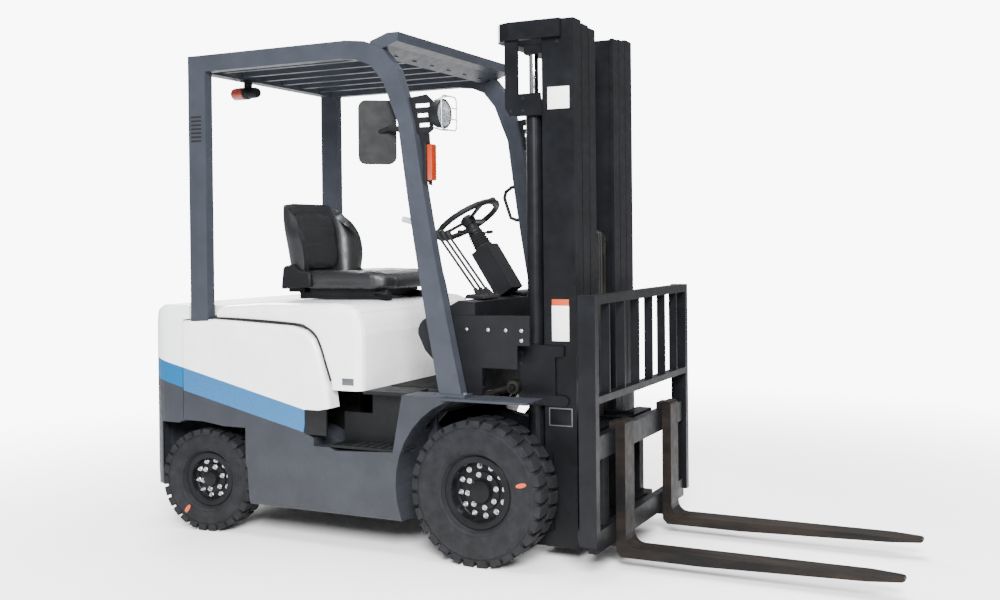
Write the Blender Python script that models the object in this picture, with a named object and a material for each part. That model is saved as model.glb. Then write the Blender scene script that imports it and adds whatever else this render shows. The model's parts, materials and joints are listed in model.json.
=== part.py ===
"""Counterbalance forklift truck with a three-stage mast, as separate named pieces.

Units are metres. X points forward, Y to the truck's left, Z up, and the ground is Z = 0.
All sizes below are measured from the front axle's centre line; the empty "truck" then moves
the whole model so that the middle of its overall length is the origin.
"""

import math

import bmesh
import bpy
from mathutils import Matrix, Vector

# ---------------------------------------------------------------- driving dimensions
WHEELBASE = 1.400
REAR_OVERHANG = 0.360          # rear axle to the back of the counterweight
FORK_BACK = 0.515              # front axle to the back of the fork shanks
FORK_LENGTH = 1.085            # back of the shank to the tip
BODY_HALF_WIDTH = 0.520
FRAME_HALF_WIDTH = 0.300       # inner face of the side boxes
AXLE_TUBE_RADIUS = 0.055
SIDE_BOTTOM = 0.140            # ground clearance under the side skirts
WAIST_REAR = (-1.512, 0.6265)  # ends of the slanted seam between the grey body and the white cover
WAIST_FRONT = (-0.842, 0.4785)
FLOOR_TOP = 0.662
STEP_WALL = 0.4000             # inner wall of the step wells
DECK_TOP = 1.010               # top of the counterweight and of the hood's rear edge

FIT_GAP = 0.0003               # between pieces that touch
PIN_GAP = 0.0008               # around pins

# wheels
FRONT_TYRE_RADIUS = 0.291
FRONT_TYRE_WIDTH = 0.165
FRONT_TRACK_HALF = 0.4585
FRONT_RIM_RADIUS = 0.127
REAR_TYRE_RADIUS = 0.229
REAR_TYRE_WIDTH = 0.135
REAR_TRACK_HALF = 0.4575
REAR_RIM_RADIUS = 0.101
KINGPIN_HALF = 0.380
REST_STEER = 7.4               # degrees that the rear wheels are turned at rest
REAR_ARCH_SWEEP = 0.280        # radius kept free around each kingpin

# guard
GUARD_HALF_WIDTH = 0.512
GUARD_TUBE_WIDTH = 0.046
GUARD_TOP = 2.135
GUARD_RAIL_DEPTH = 0.074
PILLAR_REAR_BACK = -1.470
PILLAR_REAR_DEPTH = 0.098

# mast
MAST_FRONT = 0.350
MAST_REAR = 0.210
MAST_TOP = 2.177
MAST_FOOT = 0.055
RAIL_OUTER_OUT = 0.323
RAIL_OUTER_IN = 0.246
RAIL_MIDDLE_OUT = 0.240
RAIL_MIDDLE_IN = 0.172
RAIL_INNER_OUT = 0.166
RAIL_INNER_IN = 0.100
RAIL_WEB = 0.016
TIE_THICK = 0.018
TIE_OUTER = 0.162              # rear faces of the cross members, stage by stage
TIE_MIDDLE = 0.186
RAIL_FLANGE = 0.016
ROLLER_RADIUS = 0.0535         # half a millimetre inside the rails' flanges
MAST_PIVOT_Z = FRONT_TYRE_RADIUS
LIFT_X = 0.155
FREE_LIFT_X = 0.264
LIFT_Y = 0.283
LIFT_BARREL_RADIUS = 0.034
LIFT_ROD_RADIUS = 0.019
LIFT_BARREL_TOP = 1.850

# tilt cylinders
TILT_PIN = (0.085, 0.695)      # rod eye on the mast, X and Z
TILT_BASE = (-0.330, 0.585)    # barrel pivot on the frame, X and Z
TILT_Y = 0.352
TILT_BARREL_RADIUS = 0.032
TILT_ROD_RADIUS = 0.013
TILT_EYE_RADIUS = 0.015        # rod eye's hole, round a pin of 12 mm radius
TILT_PIN_RADIUS = 0.012

# carriage, forks, backrest
BAR_FRONT = FORK_BACK - FIT_GAP
BAR_DEPTH = 0.036
BAR_HALF = 0.520
LOWER_BAR = (0.105, 0.185)
UPPER_BAR = (0.455, 0.545)
FORK_WIDTH = 0.100
FORK_THICK = 0.040
FORK_CENTRE = 0.275
FORK_BOTTOM = 0.045
FORK_SHANK_TOP = 0.580
BACKREST_HALF = 0.555
BACKREST_TOP = 1.082
BACKREST_FRONT = 0.529
BACKREST_DEPTH = 0.070

WHEEL_STEPS = 28

# materials: colour, metallic, roughness
SLATE = ("slate_paint", (0.085, 0.092, 0.112), 0.0, 0.45)
WHITE = ("white_paint", (0.62, 0.62, 0.60), 0.0, 0.35)
BLACK = ("black_paint", (0.012, 0.013, 0.016), 0.0, 0.40)
PLASTIC = ("black_plastic", (0.020, 0.020, 0.022), 0.0, 0.60)
RUBBER = ("tyre_rubber", (0.022, 0.021, 0.020), 0.0, 0.85)
IRON = ("cast_iron", (0.030, 0.030, 0.032), 0.6, 0.60)
CHROME = ("chrome_rod", (0.60, 0.60, 0.62), 1.0, 0.12)
VINYL = ("seat_vinyl", (0.018, 0.019, 0.022), 0.0, 0.50)
AMBER = ("amber_lens", (0.90, 0.25, 0.02), 0.0, 0.20)
CLEAR = ("roof_glazing", (0.30, 0.31, 0.27), 0.0, 0.15)
STEEL = ("fork_steel", (0.035, 0.032, 0.028), 0.7, 0.45)

PLANES = {"x": (1, 2, 0), "y": (0, 2, 1), "z": (0, 1, 2)}


# ---------------------------------------------------------------- small tools
def clear_scene():
    """Remove everything that the scene holds."""
    for item in list(bpy.data.objects):
        bpy.data.objects.remove(item, do_unlink=True)


def finish_mesh(name, bm):
    """Turn a bmesh into an object with its faces pointing out."""
    bmesh.ops.remove_doubles(bm, verts=bm.verts, dist=0.00001)
    bmesh.ops.recalc_face_normals(bm, faces=bm.faces)
    mesh = bpy.data.meshes.new(name)
    bm.to_mesh(mesh)
    bm.free()
    item = bpy.data.objects.new(name, mesh)
    bpy.context.collection.objects.link(item)
    return item


def prism(outline, axis, low, high):
    """Extrude a flat outline along an axis between two places."""
    first, second, along = PLANES[axis]
    bm = bmesh.new()
    corners = []
    for point in outline:
        place = [0.0, 0.0, 0.0]
        place[first], place[second], place[along] = point[0], point[1], low
        corners.append(bm.verts.new(place))
    face = bm.faces.new(corners)
    made = bmesh.ops.extrude_face_region(bm, geom=[face])
    shift = [0.0, 0.0, 0.0]
    shift[along] = high - low
    moved = [part for part in made["geom"] if isinstance(part, bmesh.types.BMVert)]
    bmesh.ops.translate(bm, vec=shift, verts=moved)
    return finish_mesh("prism", bm)


def box(x_span, y_span, z_span):
    """A plain block from its spans."""
    outline = [(x_span[0], z_span[0]), (x_span[1], z_span[0]), (x_span[1], z_span[1]), (x_span[0], z_span[1])]
    return prism(outline, "y", y_span[0], y_span[1])


def lathe(profile, steps, axis, centre):
    """Turn (radius, along) points round an axis; a point with radius 0 closes on the axis."""
    first, second, along = PLANES[axis]
    bm = bmesh.new()
    rings = []
    for radius, offset in profile:
        count = 1 if radius == 0.0 else steps
        ring = []
        for index in range(count):
            angle = 2.0 * math.pi * index / steps
            place = list(centre)
            place[first] += radius * math.cos(angle)
            place[second] += radius * math.sin(angle)
            place[along] += offset
            ring.append(bm.verts.new(place))
        rings.append(ring)
    for ring, following in zip(rings, rings[1:] + rings[:1]):
        if len(ring) == 1 and len(following) == 1:
            continue
        for index in range(steps):
            after = (index + 1) % steps
            corners = [ring[index % len(ring)], following[index % len(following)],
                       following[after % len(following)], ring[after % len(ring)]]
            unique = list(dict.fromkeys(corners))
            if len(unique) > 2:
                bm.faces.new(unique)
    return finish_mesh("turned", bm)


def cylinder(axis, centre, radius, low, high, steps=20):
    """A plain round bar along an axis."""
    profile = [(0.0, low), (radius, low), (radius, high), (0.0, high)]
    return lathe(profile, steps, axis, centre)


def bar_between(start, end, radius, steps=14):
    """A round bar between two points."""
    start, end = Vector(start), Vector(end)
    length = (end - start).length
    item = cylinder("z", (0.0, 0.0, 0.0), radius, 0.0, length, steps)
    turn = Vector((0.0, 0.0, 1.0)).rotation_difference(end - start)
    item.data.transform(Matrix.Translation(start) @ turn.to_matrix().to_4x4())
    return item


def bent_tube(points, radius, sides=2):
    """A round tube through points, closed at both ends."""
    curve = bpy.data.curves.new("tube", "CURVE")
    curve.dimensions = "3D"
    curve.bevel_depth = radius
    curve.bevel_resolution = sides
    curve.use_fill_caps = True
    spline = curve.splines.new("POLY")
    spline.points.add(len(points) - 1)
    for target, point in zip(spline.points, points):
        target.co = (point[0], point[1], point[2], 1.0)
    guide = bpy.data.objects.new("tube_guide", curve)
    bpy.context.collection.objects.link(guide)
    bpy.context.view_layer.update()
    mesh = bpy.data.meshes.new_from_object(guide.evaluated_get(bpy.context.evaluated_depsgraph_get()))
    bpy.data.objects.remove(guide, do_unlink=True)
    bm = bmesh.new()
    bm.from_mesh(mesh)
    return finish_mesh("tube", bm)


def arc(centre, radius, start, end, count):
    """Points on an arc, angles in degrees."""
    points = []
    for index in range(count + 1):
        angle = math.radians(start + (end - start) * index / count)
        points.append((centre[0] + radius * math.cos(angle), centre[1] + radius * math.sin(angle)))
    return points


def apply_modifiers(item):
    """Replace an object's mesh with what its modifiers make of it."""
    bpy.context.view_layer.update()
    graph = bpy.context.evaluated_depsgraph_get()
    mesh = bpy.data.meshes.new_from_object(item.evaluated_get(graph))
    item.modifiers.clear()
    item.data = mesh


def combine(target, others, operation):
    """Unite the target with other solids, or cut them from it."""
    for other in others:
        modifier = target.modifiers.new(operation, "BOOLEAN")
        modifier.operation = operation
        modifier.object = other
        apply_modifiers(target)
        bpy.data.objects.remove(other, do_unlink=True)
    return target


def unite(target, *others):
    """Join solids into one."""
    return combine(target, others, "UNION")


def cut(target, *others):
    """Cut solids out of the target."""
    return combine(target, others, "DIFFERENCE")


def bevel_where(item, width, segments, keep):
    """Bevel the edges that the test picks, from their two end points."""
    bm = bmesh.new()
    bm.from_mesh(item.data)
    edges = [edge for edge in bm.edges if keep(edge.verts[0].co, edge.verts[1].co)]
    bmesh.ops.bevel(bm, geom=edges, offset=width, segments=segments, affect="EDGES", profile=0.5)
    bmesh.ops.recalc_face_normals(bm, faces=bm.faces)
    bm.to_mesh(item.data)
    bm.free()
    return item


def mirrored(item):
    """A copy of a solid on the truck's other side."""
    copy = bpy.data.objects.new("mirrored", item.data.copy())
    bpy.context.collection.objects.link(copy)
    copy.data.transform(Matrix.Scale(-1.0, 4, (0.0, 1.0, 0.0)))
    copy.data.flip_normals()
    return copy


def joint(name, place, parent=None, turn=0.0):
    """An empty on a joint's axis; the place is measured from the front axle."""
    empty = bpy.data.objects.new(name, None)
    bpy.context.collection.objects.link(empty)
    empty["place"] = place
    empty.location = place
    if parent is not None:
        empty.parent = parent
        empty.location = Vector(place) - Vector(parent["place"])
    empty.rotation_euler.z = math.radians(turn)
    return empty


def make_material(finish):
    """A plain principled material."""
    name, colour, metallic, roughness = finish
    if name in bpy.data.materials:
        return bpy.data.materials[name]
    material = bpy.data.materials.new(name)
    material.use_nodes = True
    shader = material.node_tree.nodes["Principled BSDF"]
    shader.inputs["Base Color"].default_value = (*colour, 1.0)
    shader.inputs["Metallic"].default_value = metallic
    shader.inputs["Roughness"].default_value = roughness
    return material


def place(item, name, finish, parent, smooth=False):
    """Name a finished solid, give it its material and hang it on its joint."""
    item.name = name
    item.data.name = name
    item.data.materials.clear()
    item.data.materials.append(make_material(finish))
    item.data.transform(Matrix.Translation(-Vector(parent["place"])))
    item.parent = parent
    if smooth:
        item.data.shade_smooth()
        item.data.set_sharp_from_angle(angle=math.radians(35.0))
    return item


# ---------------------------------------------------------------- wheels and axles
def tyre(radius, width, rim_radius, centre):
    """A pneumatic tyre: bead, bulged side walls and a flat tread band."""
    bead = rim_radius + FIT_GAP
    flange = rim_radius + 0.024
    bead_half = width * 0.5 - 0.030
    half = width * 0.5
    side = [(bead, bead_half), (flange, bead_half), (flange + 0.012, half - 0.006),
            ((flange + radius) * 0.5, half), (radius - 0.022, half - 0.004), (radius, half - 0.022)]
    profile = side + [(r, -t) for r, t in reversed(side)]
    return lathe(profile, WHEEL_STEPS, "y", centre)


def rim(width, rim_radius, hub_radius, centre, outward):
    """A wheel rim with its disc and hub; outward is the side of the truck it faces."""
    seat = width * 0.5 - 0.030 + FIT_GAP
    edge = seat + 0.006
    inner = rim_radius - 0.009
    lip = rim_radius + 0.022
    profile = [(0.0, 0.046), (hub_radius, 0.046), (hub_radius + 0.006, 0.020), (inner - 0.010, 0.012),
               (inner, 0.026), (inner, edge), (lip, edge), (lip, seat), (rim_radius, seat),
               (rim_radius, -seat), (lip, -seat), (lip, -edge), (inner, -edge), (inner, 0.0),
               (hub_radius + 0.010, -0.004), (hub_radius, -0.030), (0.0, -0.030)]
    turned = [(radius, offset * outward) for radius, offset in profile]
    return lathe(turned, WHEEL_STEPS, "y", centre)


def add_front_wheels(truck):
    """Both drive wheels."""
    for side, sign in (("right", -1), ("left", 1)):
        centre = (0.0, sign * FRONT_TRACK_HALF, FRONT_TYRE_RADIUS)
        hub = joint("front_%s_wheel" % side, centre, truck)
        rubber = tyre(FRONT_TYRE_RADIUS, FRONT_TYRE_WIDTH, FRONT_RIM_RADIUS, centre)
        metal = rim(FRONT_TYRE_WIDTH, FRONT_RIM_RADIUS, 0.052, centre, sign)
        place(rubber, "front_%s_tyre" % side, RUBBER, hub, True)
        place(metal, "front_%s_rim" % side, BLACK, hub, True)


def add_front_axle(truck):
    """Drive axle: round housing with a bulged differential and brake drums at its ends."""
    end = FRONT_TRACK_HALF - 0.030 - FIT_GAP
    drum = end - 0.075
    profile = [(0.0, -end), (0.042, -end), (0.042, -end + 0.012), (0.098, -end + 0.012), (0.098, -drum),
               (0.055, -drum), (0.055, -0.150), (0.120, -0.080), (0.120, 0.080), (0.055, 0.150),
               (0.055, drum), (0.098, drum), (0.098, end - 0.012), (0.042, end - 0.012), (0.042, end),
               (0.0, end)]
    item = lathe(profile, 24, "y", (0.0, 0.0, FRONT_TYRE_RADIUS))
    place(item, "front_axle", IRON, truck, True)


def add_rear_axle(truck):
    """Steer axle beam with a fork at each end, its knuckles and wheels."""
    middle = REAR_TYRE_RADIUS
    reach = KINGPIN_HALF - 0.062
    beam = box((-WHEELBASE - 0.045, -WHEELBASE + 0.045), (-reach, reach), (middle - 0.050, middle + 0.050))
    for sign in (-1, 1):
        ends = sorted((sign * (reach - 0.010), sign * KINGPIN_HALF))
        for low in (middle + 0.030, middle - 0.050):
            unite(beam, box((-WHEELBASE - 0.034, -WHEELBASE + 0.034), ends, (low, low + 0.020)))
            pivot = (-WHEELBASE, sign * KINGPIN_HALF, 0.0)
            unite(beam, cylinder("z", pivot, 0.034, low, low + 0.020))
    unite(beam, box((-WHEELBASE - 0.060, -WHEELBASE + 0.060), (-0.050, 0.050), (middle + 0.040, 0.4997)))
    place(beam, "rear_axle", IRON, truck)
    for side, sign in (("right", -1), ("left", 1)):
        pivot = (-WHEELBASE, sign * KINGPIN_HALF, middle)
        centre = (-WHEELBASE, sign * REAR_TRACK_HALF, middle)
        swivel = joint("rear_%s_swivel" % side, pivot, truck, REST_STEER)
        knuckle = cylinder("z", (pivot[0], pivot[1], 0.0), 0.026, middle - 0.030 + PIN_GAP, middle + 0.030 - PIN_GAP)
        stub_end = sign * (REAR_TRACK_HALF - 0.030 - FIT_GAP)
        unite(knuckle, cylinder("y", (centre[0], 0.0, middle), 0.020, *sorted((pivot[1], stub_end))))
        place(knuckle, "rear_%s_knuckle" % side, IRON, swivel, True)
        hub = joint("rear_%s_wheel" % side, centre, swivel)
        rubber = tyre(REAR_TYRE_RADIUS, REAR_TYRE_WIDTH, REAR_RIM_RADIUS, centre)
        metal = rim(REAR_TYRE_WIDTH, REAR_RIM_RADIUS, 0.040, centre, sign)
        place(rubber, "rear_%s_tyre" % side, RUBBER, hub, True)
        place(metal, "rear_%s_rim" % side, BLACK, hub, True)


# ---------------------------------------------------------------- body
def front_arch(count=9):
    """The front wheel arch from its lower rear end up to the fender's underside."""
    return arc((0.0, FRONT_TYRE_RADIUS), 0.380, 201.0, 112.0, count)


def rear_arch():
    """The rear wheel arch from its top round to the lower front end."""
    offsets = [(0.0, 0.492), (0.105, 0.480), (0.170, 0.446), (0.218, 0.388), (0.250, 0.300),
               (0.262, SIDE_BOTTOM)]
    return [(-WHEELBASE + ahead, height) for ahead, height in offsets]


def waist(x):
    """Height of the slanted seam at a place along the truck."""
    share = (x - WAIST_REAR[0]) / (WAIST_FRONT[0] - WAIST_REAR[0])
    return WAIST_REAR[1] + share * (WAIST_FRONT[1] - WAIST_REAR[1])


def lower_outer_edge(a, b):
    """Whether an edge runs along the bottom of a side skirt's outer face."""
    return min(abs(a.y), abs(b.y)) > BODY_HALF_WIDTH - 0.01 and max(a.z, b.z) < SIDE_BOTTOM + 0.001


def add_chassis(truck):
    """Grey lower body: side boxes, frame arms over the drive axle, fenders and cross members."""
    skirt_top = [(-0.392, 0.424), (-0.680, 0.410), (-0.820, 0.470), WAIST_FRONT, WAIST_REAR]
    column_top = [(-0.100, FLOOR_TOP), (-0.345, FLOOR_TOP)]
    outline = rear_arch() + [(-0.355, SIDE_BOTTOM)] + front_arch() + column_top + skirt_top
    outline.append((-1.512, 0.492))
    halves = []
    for sign in (-1, 1):
        inner, outer = sign * FRAME_HALF_WIDTH, sign * BODY_HALF_WIDTH
        side = prism(outline, "y", *sorted((inner, outer)))
        bevel_where(side, 0.018, 2, lower_outer_edge)
        fender = [(-0.150, 0.6523), (0.232, 0.6523), (0.238, FLOOR_TOP), (-0.150, FLOOR_TOP)]
        unite(side, prism(fender, "y", *sorted((sign * 0.385, sign * 0.535))))
        seat = FRONT_TYRE_RADIUS + AXLE_TUBE_RADIUS + FIT_GAP
        arm = [(-0.410, 0.300), (-0.070, seat), (0.060, seat), (0.060, 0.430), (-0.340, 0.500), (-0.410, 0.500)]
        unite(side, prism(arm, "y", *sorted((sign * 0.262, sign * 0.312))))
        lug = [(TILT_BASE[0] - 0.035, 0.450), (TILT_BASE[0] + 0.035, 0.450),
               (TILT_BASE[0] + 0.030, TILT_BASE[1] + 0.020), (TILT_BASE[0] - 0.030, TILT_BASE[1] + 0.020)]
        swept = cylinder("z", (-WHEELBASE, sign * KINGPIN_HALF, 0.0), REAR_ARCH_SWEEP, 0.10, 0.478, 32)
        cut(side, swept)
        # the tilt cylinder's tunnel and the rear well of the step
        tunnel = box((TILT_BASE[0] - 0.060, 0.30), sorted((sign * 0.313, sign * 0.3945)), (0.505, 0.700))
        cut(side, tunnel)
        well = [(-0.790, 0.4230), (-0.3922, 0.4230), (-0.3455, 0.700), (-0.790, 0.700)]
        cut(side, prism(well, "y", *sorted((sign * STEP_WALL, sign * 0.60))))
        unite(side, prism(lug, "y", *sorted((sign * 0.305, sign * (TILT_Y - 0.028)))))
        halves.append(side)
    right, left = halves
    unite(right, left)
    unite(right, box((-0.400, -0.340), (-0.310, 0.310), (0.330, 0.420)))
    unite(right, box((-1.148, -1.105), (-0.310, 0.310), (0.150, 0.480)))
    unite(right, box((-1.512, -1.100), (-0.310, 0.310), (0.500, 0.560)))
    unite(right, box((-0.640, -0.590), (-0.310, 0.310), (0.150, 0.200)))
    place(right, "chassis_frame", SLATE, truck)


def counterweight_outline():
    """Side view of the counterweight."""
    back = -WHEELBASE - REAR_OVERHANG
    return [(-1.5155, 0.500), (-1.5155, 0.948), (-1.470, 0.952), (-1.470, 0.960), (-1.350, 0.966),
            (-1.350, DECK_TOP), (back + 0.140, DECK_TOP + 0.004), (back + 0.085, 0.985),
            (back + 0.055, 0.930), (back + 0.038, 0.720), (back + 0.038, 0.668), (back, 0.630),
            (back, 0.420), (back + 0.075, 0.190), (back + 0.200, 0.190), (-1.480, 0.500)]


def add_counterweight(truck):
    """Cast weight with rounded rear corners, wheel clearance and a grille recess."""
    back = -WHEELBASE - REAR_OVERHANG
    weight = prism(counterweight_outline(), "y", -BODY_HALF_WIDTH, BODY_HALF_WIDTH)
    corner = 0.150
    plan = [(-1.30, -0.60), (-1.30, 0.60)]
    plan += [(-1.516, 0.60), (-1.516, BODY_HALF_WIDTH)]
    plan += arc((back + corner + 0.010, BODY_HALF_WIDTH - corner), corner, 90.0, 170.0, 7)
    plan += [(back, 0.0)]
    plan += [(x, -y) for x, y in reversed(arc((back + corner + 0.010, BODY_HALF_WIDTH - corner), corner,
                                              90.0, 170.0, 7))]
    plan += [(-1.516, -BODY_HALF_WIDTH), (-1.516, -0.60)]
    shape = prism(plan, "z", 0.0, 1.2)
    combine(weight, [shape], "INTERSECT")
    for sign in (-1, 1):
        pivot = (-WHEELBASE, sign * KINGPIN_HALF, 0.0)
        cut(weight, cylinder("z", pivot, REAR_ARCH_SWEEP, 0.10, 0.478, 32))
        arch = [(-WHEELBASE + 0.05, 0.10), (-1.636, 0.10), (-1.642, 0.400), (-1.527, 0.486),
                (-WHEELBASE + 0.05, 0.520)]
        cut(weight, prism(arch, "y", *sorted((sign * KINGPIN_HALF, sign * 0.60))))
        cut(weight, box((PILLAR_REAR_BACK - 0.004, -1.30), sorted((sign * 0.440, sign * 0.60)), (0.30, 1.2)))
    cut(weight, box((-1.5125, -1.30), (-0.60, 0.60), (0.30, 0.5603)))
    cut(weight, box((-1.5125, -1.30), (-0.310, 0.310), (0.30, 0.900)))
    cut(weight, box((back - 0.02, back + 0.060), (-0.190, 0.190), (0.560, 0.760)))
    cut(weight, box((back - 0.02, back + 0.055), (-0.060, 0.060), (0.300, 0.400)))
    unite(weight, cylinder("z", (back + 0.030, 0.0, 0.0), 0.014, 0.290, 0.450))
    place(weight, "counterweight", SLATE, truck)


def upper_panel_edge(a, b):
    """Whether an edge runs along the top or front of a side panel's outer face."""
    outside = min(abs(a.y), abs(b.y)) > BODY_HALF_WIDTH - 0.01
    return outside and min(a.z, b.z) > 0.58 and max(a.x, b.x) > -1.45


def add_side_panels(truck):
    """White covers at both sides of the engine bay, open inwards."""
    outline = [(x, waist(x) + FIT_GAP) for x in (-1.5115, -0.843)] + [(-0.826, 0.566), (-0.712, 0.586)]
    outline += [(-0.722, 0.660), (-0.768, 0.830)]
    outline += [(-0.795, 0.882), (-0.840, 0.915), (-0.910, 0.932), (-1.340, 0.952), (-1.5115, 0.944)]
    inset = [(-1.500, 0.645), (-0.856, 0.500), (-0.840, 0.580), (-0.728, 0.598), (-0.736, 0.660),
             (-0.780, 0.820), (-0.806, 0.870), (-0.850, 0.900), (-0.915, 0.918), (-1.350, 0.938),
             (-1.500, 0.930)]
    for side, sign in (("right", -1), ("left", 1)):
        panel = prism(outline, "y", *sorted((sign * 0.440, sign * BODY_HALF_WIDTH)))
        bevel_where(panel, 0.020, 3, upper_panel_edge)
        cut(panel, prism(inset, "y", *sorted((sign * 0.40, sign * (BODY_HALF_WIDTH - 0.006)))))
        length = (PILLAR_REAR_BACK - 0.003, PILLAR_REAR_BACK + PILLAR_REAR_DEPTH + 0.003)
        cut(panel, box(length, sorted((sign * 0.43, sign * (GUARD_HALF_WIDTH + 0.002))), (0.55, 1.00)))
        place(panel, "%s_side_panel" % side, WHITE, truck)


def add_hood(hinge):
    """Engine hood under the seat: a hollow cover with rounded edges, resting on the floor."""
    low = FLOOR_TOP + FIT_GAP
    outline = [(-1.335, 0.958), (-1.335, DECK_TOP), (-1.100, 1.024), (-0.680, 1.030), (-0.610, 1.018),
               (-0.575, 0.975), (-0.562, 0.900), (-0.566, low), (-0.708, low), (-0.714, 0.700),
               (-0.762, 0.836), (-0.790, 0.890), (-0.836, 0.923), (-0.908, 0.940), (-1.250, 0.955)]
    half = 0.492
    hood = prism(outline, "y", -half, half)

    def upper_or_front_edge(a, b):
        if min(abs(a.y), abs(b.y)) < half - 0.01:
            return False
        upper = min(a.z, b.z) > 0.959
        front = min(a.x, b.x) > -0.60 and a.y * b.y > 0.0 and abs(a.z - b.z) > 0.03
        return upper or front

    bevel_where(hood, 0.034, 3, upper_or_front_edge)
    inside = [(-1.323, 0.600), (-1.323, 0.992), (-1.100, 1.011), (-0.690, 1.017), (-0.630, 1.005),
              (-0.592, 0.970), (-0.576, 0.895), (-0.580, 0.600)]
    cut(hood, prism(inside, "y", -half + 0.014, half - 0.014))
    place(hood, "hood", WHITE, hinge)


def add_engine(truck):
    """Engine and gearbox as one plain block."""
    block = box((-1.060, -0.745), (-0.240, 0.240), (0.230, 0.860))
    unite(block, box((-0.760, -0.430), (-0.170, 0.170), (0.210, 0.560)))
    reach = FRAME_HALF_WIDTH - FIT_GAP
    unite(block, box((-1.100, -1.050), (-reach, reach), (0.240, 0.300)))
    place(block, "engine", IRON, truck)


def add_floor(truck):
    """Black floor plate with a recessed step and riser on each side."""
    edge = -0.3490
    under = FLOOR_TOP - 0.014
    floor = box((-0.5780, edge), (-0.460, 0.460), (under, FLOOR_TOP))
    unite(floor, box((edge - 0.001, -0.1750), (-FRAME_HALF_WIDTH + FIT_GAP, FRAME_HALF_WIDTH - FIT_GAP),
                     (under, FLOOR_TOP)))
    riser = [(-0.705, 0.4235), (-0.3928, 0.4235), (edge, under + 0.002), (-0.5595, under + 0.002),
             (-0.5595, 0.560), (-0.705, 0.560)]
    tread = [(-0.705, 0.4235), (-0.3928, 0.4235), (-0.3910, 0.434), (-0.705, 0.434)]
    for sign in (-1, 1):
        wall = sorted((sign * (STEP_WALL + FIT_GAP), sign * (STEP_WALL + 0.014)))
        unite(floor, prism(riser, "y", *wall))
        unite(floor, prism(tread, "y", *sorted((sign * (STEP_WALL + FIT_GAP), sign * 0.515))))
    place(floor, "floor_and_steps", PLASTIC, truck)


def add_cowl(truck):
    """Dashboard cowl: two side plates, a top tray and a front wall."""
    low = FLOOR_TOP + FIT_GAP
    side = [(-0.030, low), (-0.030, 0.775), (0.130, 0.775), (0.130, 0.870), (0.185, 0.870), (0.185, 0.990),
            (-0.170, 0.985)]
    side += arc((-0.270, 0.915), 0.062, 90.0, 190.0, 5)
    side += [(-0.300, 0.840), (-0.215, 0.755), (-0.172, 0.690), (-0.172, low)]
    cowl = prism(side, "y", -0.410, -0.400)
    unite(cowl, prism(side, "y", 0.400, 0.410))
    unite(cowl, box((-0.075, -0.063), (-0.405, 0.405), (low, 1.000)))
    for sign in (-1, 1):
        cut(cowl, box((-0.090, -0.050), sorted((sign * 0.312, sign * 0.396)), (low - 0.01, 0.725)))
    tray = [(-0.250, 0.966), (-0.063, 0.984), (-0.063, 1.040), (-0.140, 1.046), (-0.250, 0.990)]
    unite(cowl, prism(tray, "y", -0.405, 0.405))
    place(cowl, "front_cowl", BLACK, truck)


def add_column(truck, wheel_joint, hub, lean):
    """Steering column with its fairing, and the steering wheel on it."""
    axis = Vector((-math.sin(lean), 0.0, math.cos(lean)))
    hub = Vector(hub)
    foot = hub - axis * 0.385
    column = bar_between(foot, hub - axis * 0.030, 0.024, 16)
    fairing = prism([(-0.045, -0.055), (0.045, -0.055), (0.045, 0.055), (-0.045, 0.055)], "z", 0.0, 0.230)
    tilt = Matrix.Rotation(-lean, 4, "Y")
    fairing.data.transform(Matrix.Translation(foot) @ tilt)
    unite(column, fairing)
    cut(column, box((-0.60, 0.2), (-0.3, 0.3), (0.80, 1.0463)))
    place(column, "steering_column", BLACK, truck)
    wheel = lathe([(0.150 + 0.013 * math.cos(a * math.pi / 4.0), 0.013 * math.sin(a * math.pi / 4.0))
                   for a in range(6)], 28, "z", (0.0, 0.0, 0.0))
    unite(wheel, cylinder("z", (0.0, 0.0, 0.0), 0.028, -0.030 + FIT_GAP, 0.012, 16))
    for angle in (90.0, 210.0, 330.0):
        spoke = box((0.0, 0.150), (-0.010, 0.010), (-0.006, 0.004))
        spoke.data.transform(Matrix.Rotation(math.radians(angle), 4, "Z"))
        unite(wheel, spoke)
    knob = lathe([(0.0, 0.005), (0.010, 0.005), (0.010, 0.020), (0.020, 0.030), (0.020, 0.045), (0.0, 0.052)],
                 16, "z", (0.105, 0.105, 0.0))
    unite(wheel, knob)
    wheel.data.transform(Matrix.Translation(hub) @ tilt)
    place(wheel, "steering_wheel", PLASTIC, wheel_joint, True)


def add_levers(truck):
    """Three hydraulic levers on one bellows block."""
    outline = [(-0.180, 1.0463), (-0.080, 1.0463), (-0.085, 1.085), (-0.165, 1.095)]
    block = prism(outline, "y", -0.290, -0.150)
    for index in range(3):
        across = -0.265 + 0.045 * index
        unite(block, bar_between((-0.125, across, 1.070), (-0.320, across, 1.320), 0.007, 10))
        unite(block, bar_between((-0.306, across, 1.302), (-0.338, across, 1.343), 0.013, 12))
    place(block, "control_levers", BLACK, truck)


# ---------------------------------------------------------------- guard and lamps
def leg_centre(height):
    """X of the front leg's centre line at a height."""
    return -0.118 - 0.178 * (height - 0.665) + -0.012 * math.sin(math.pi * (height - 0.665) / 1.2)


def leg_half(height):
    """Half of the front leg's width at a height."""
    return 0.052 - 0.016 * (height - 0.6625) / (1.780 - 0.6625)


def leg_front(height):
    """X of the front leg's front face at a height."""
    return leg_centre(height) + leg_half(height)


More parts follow.
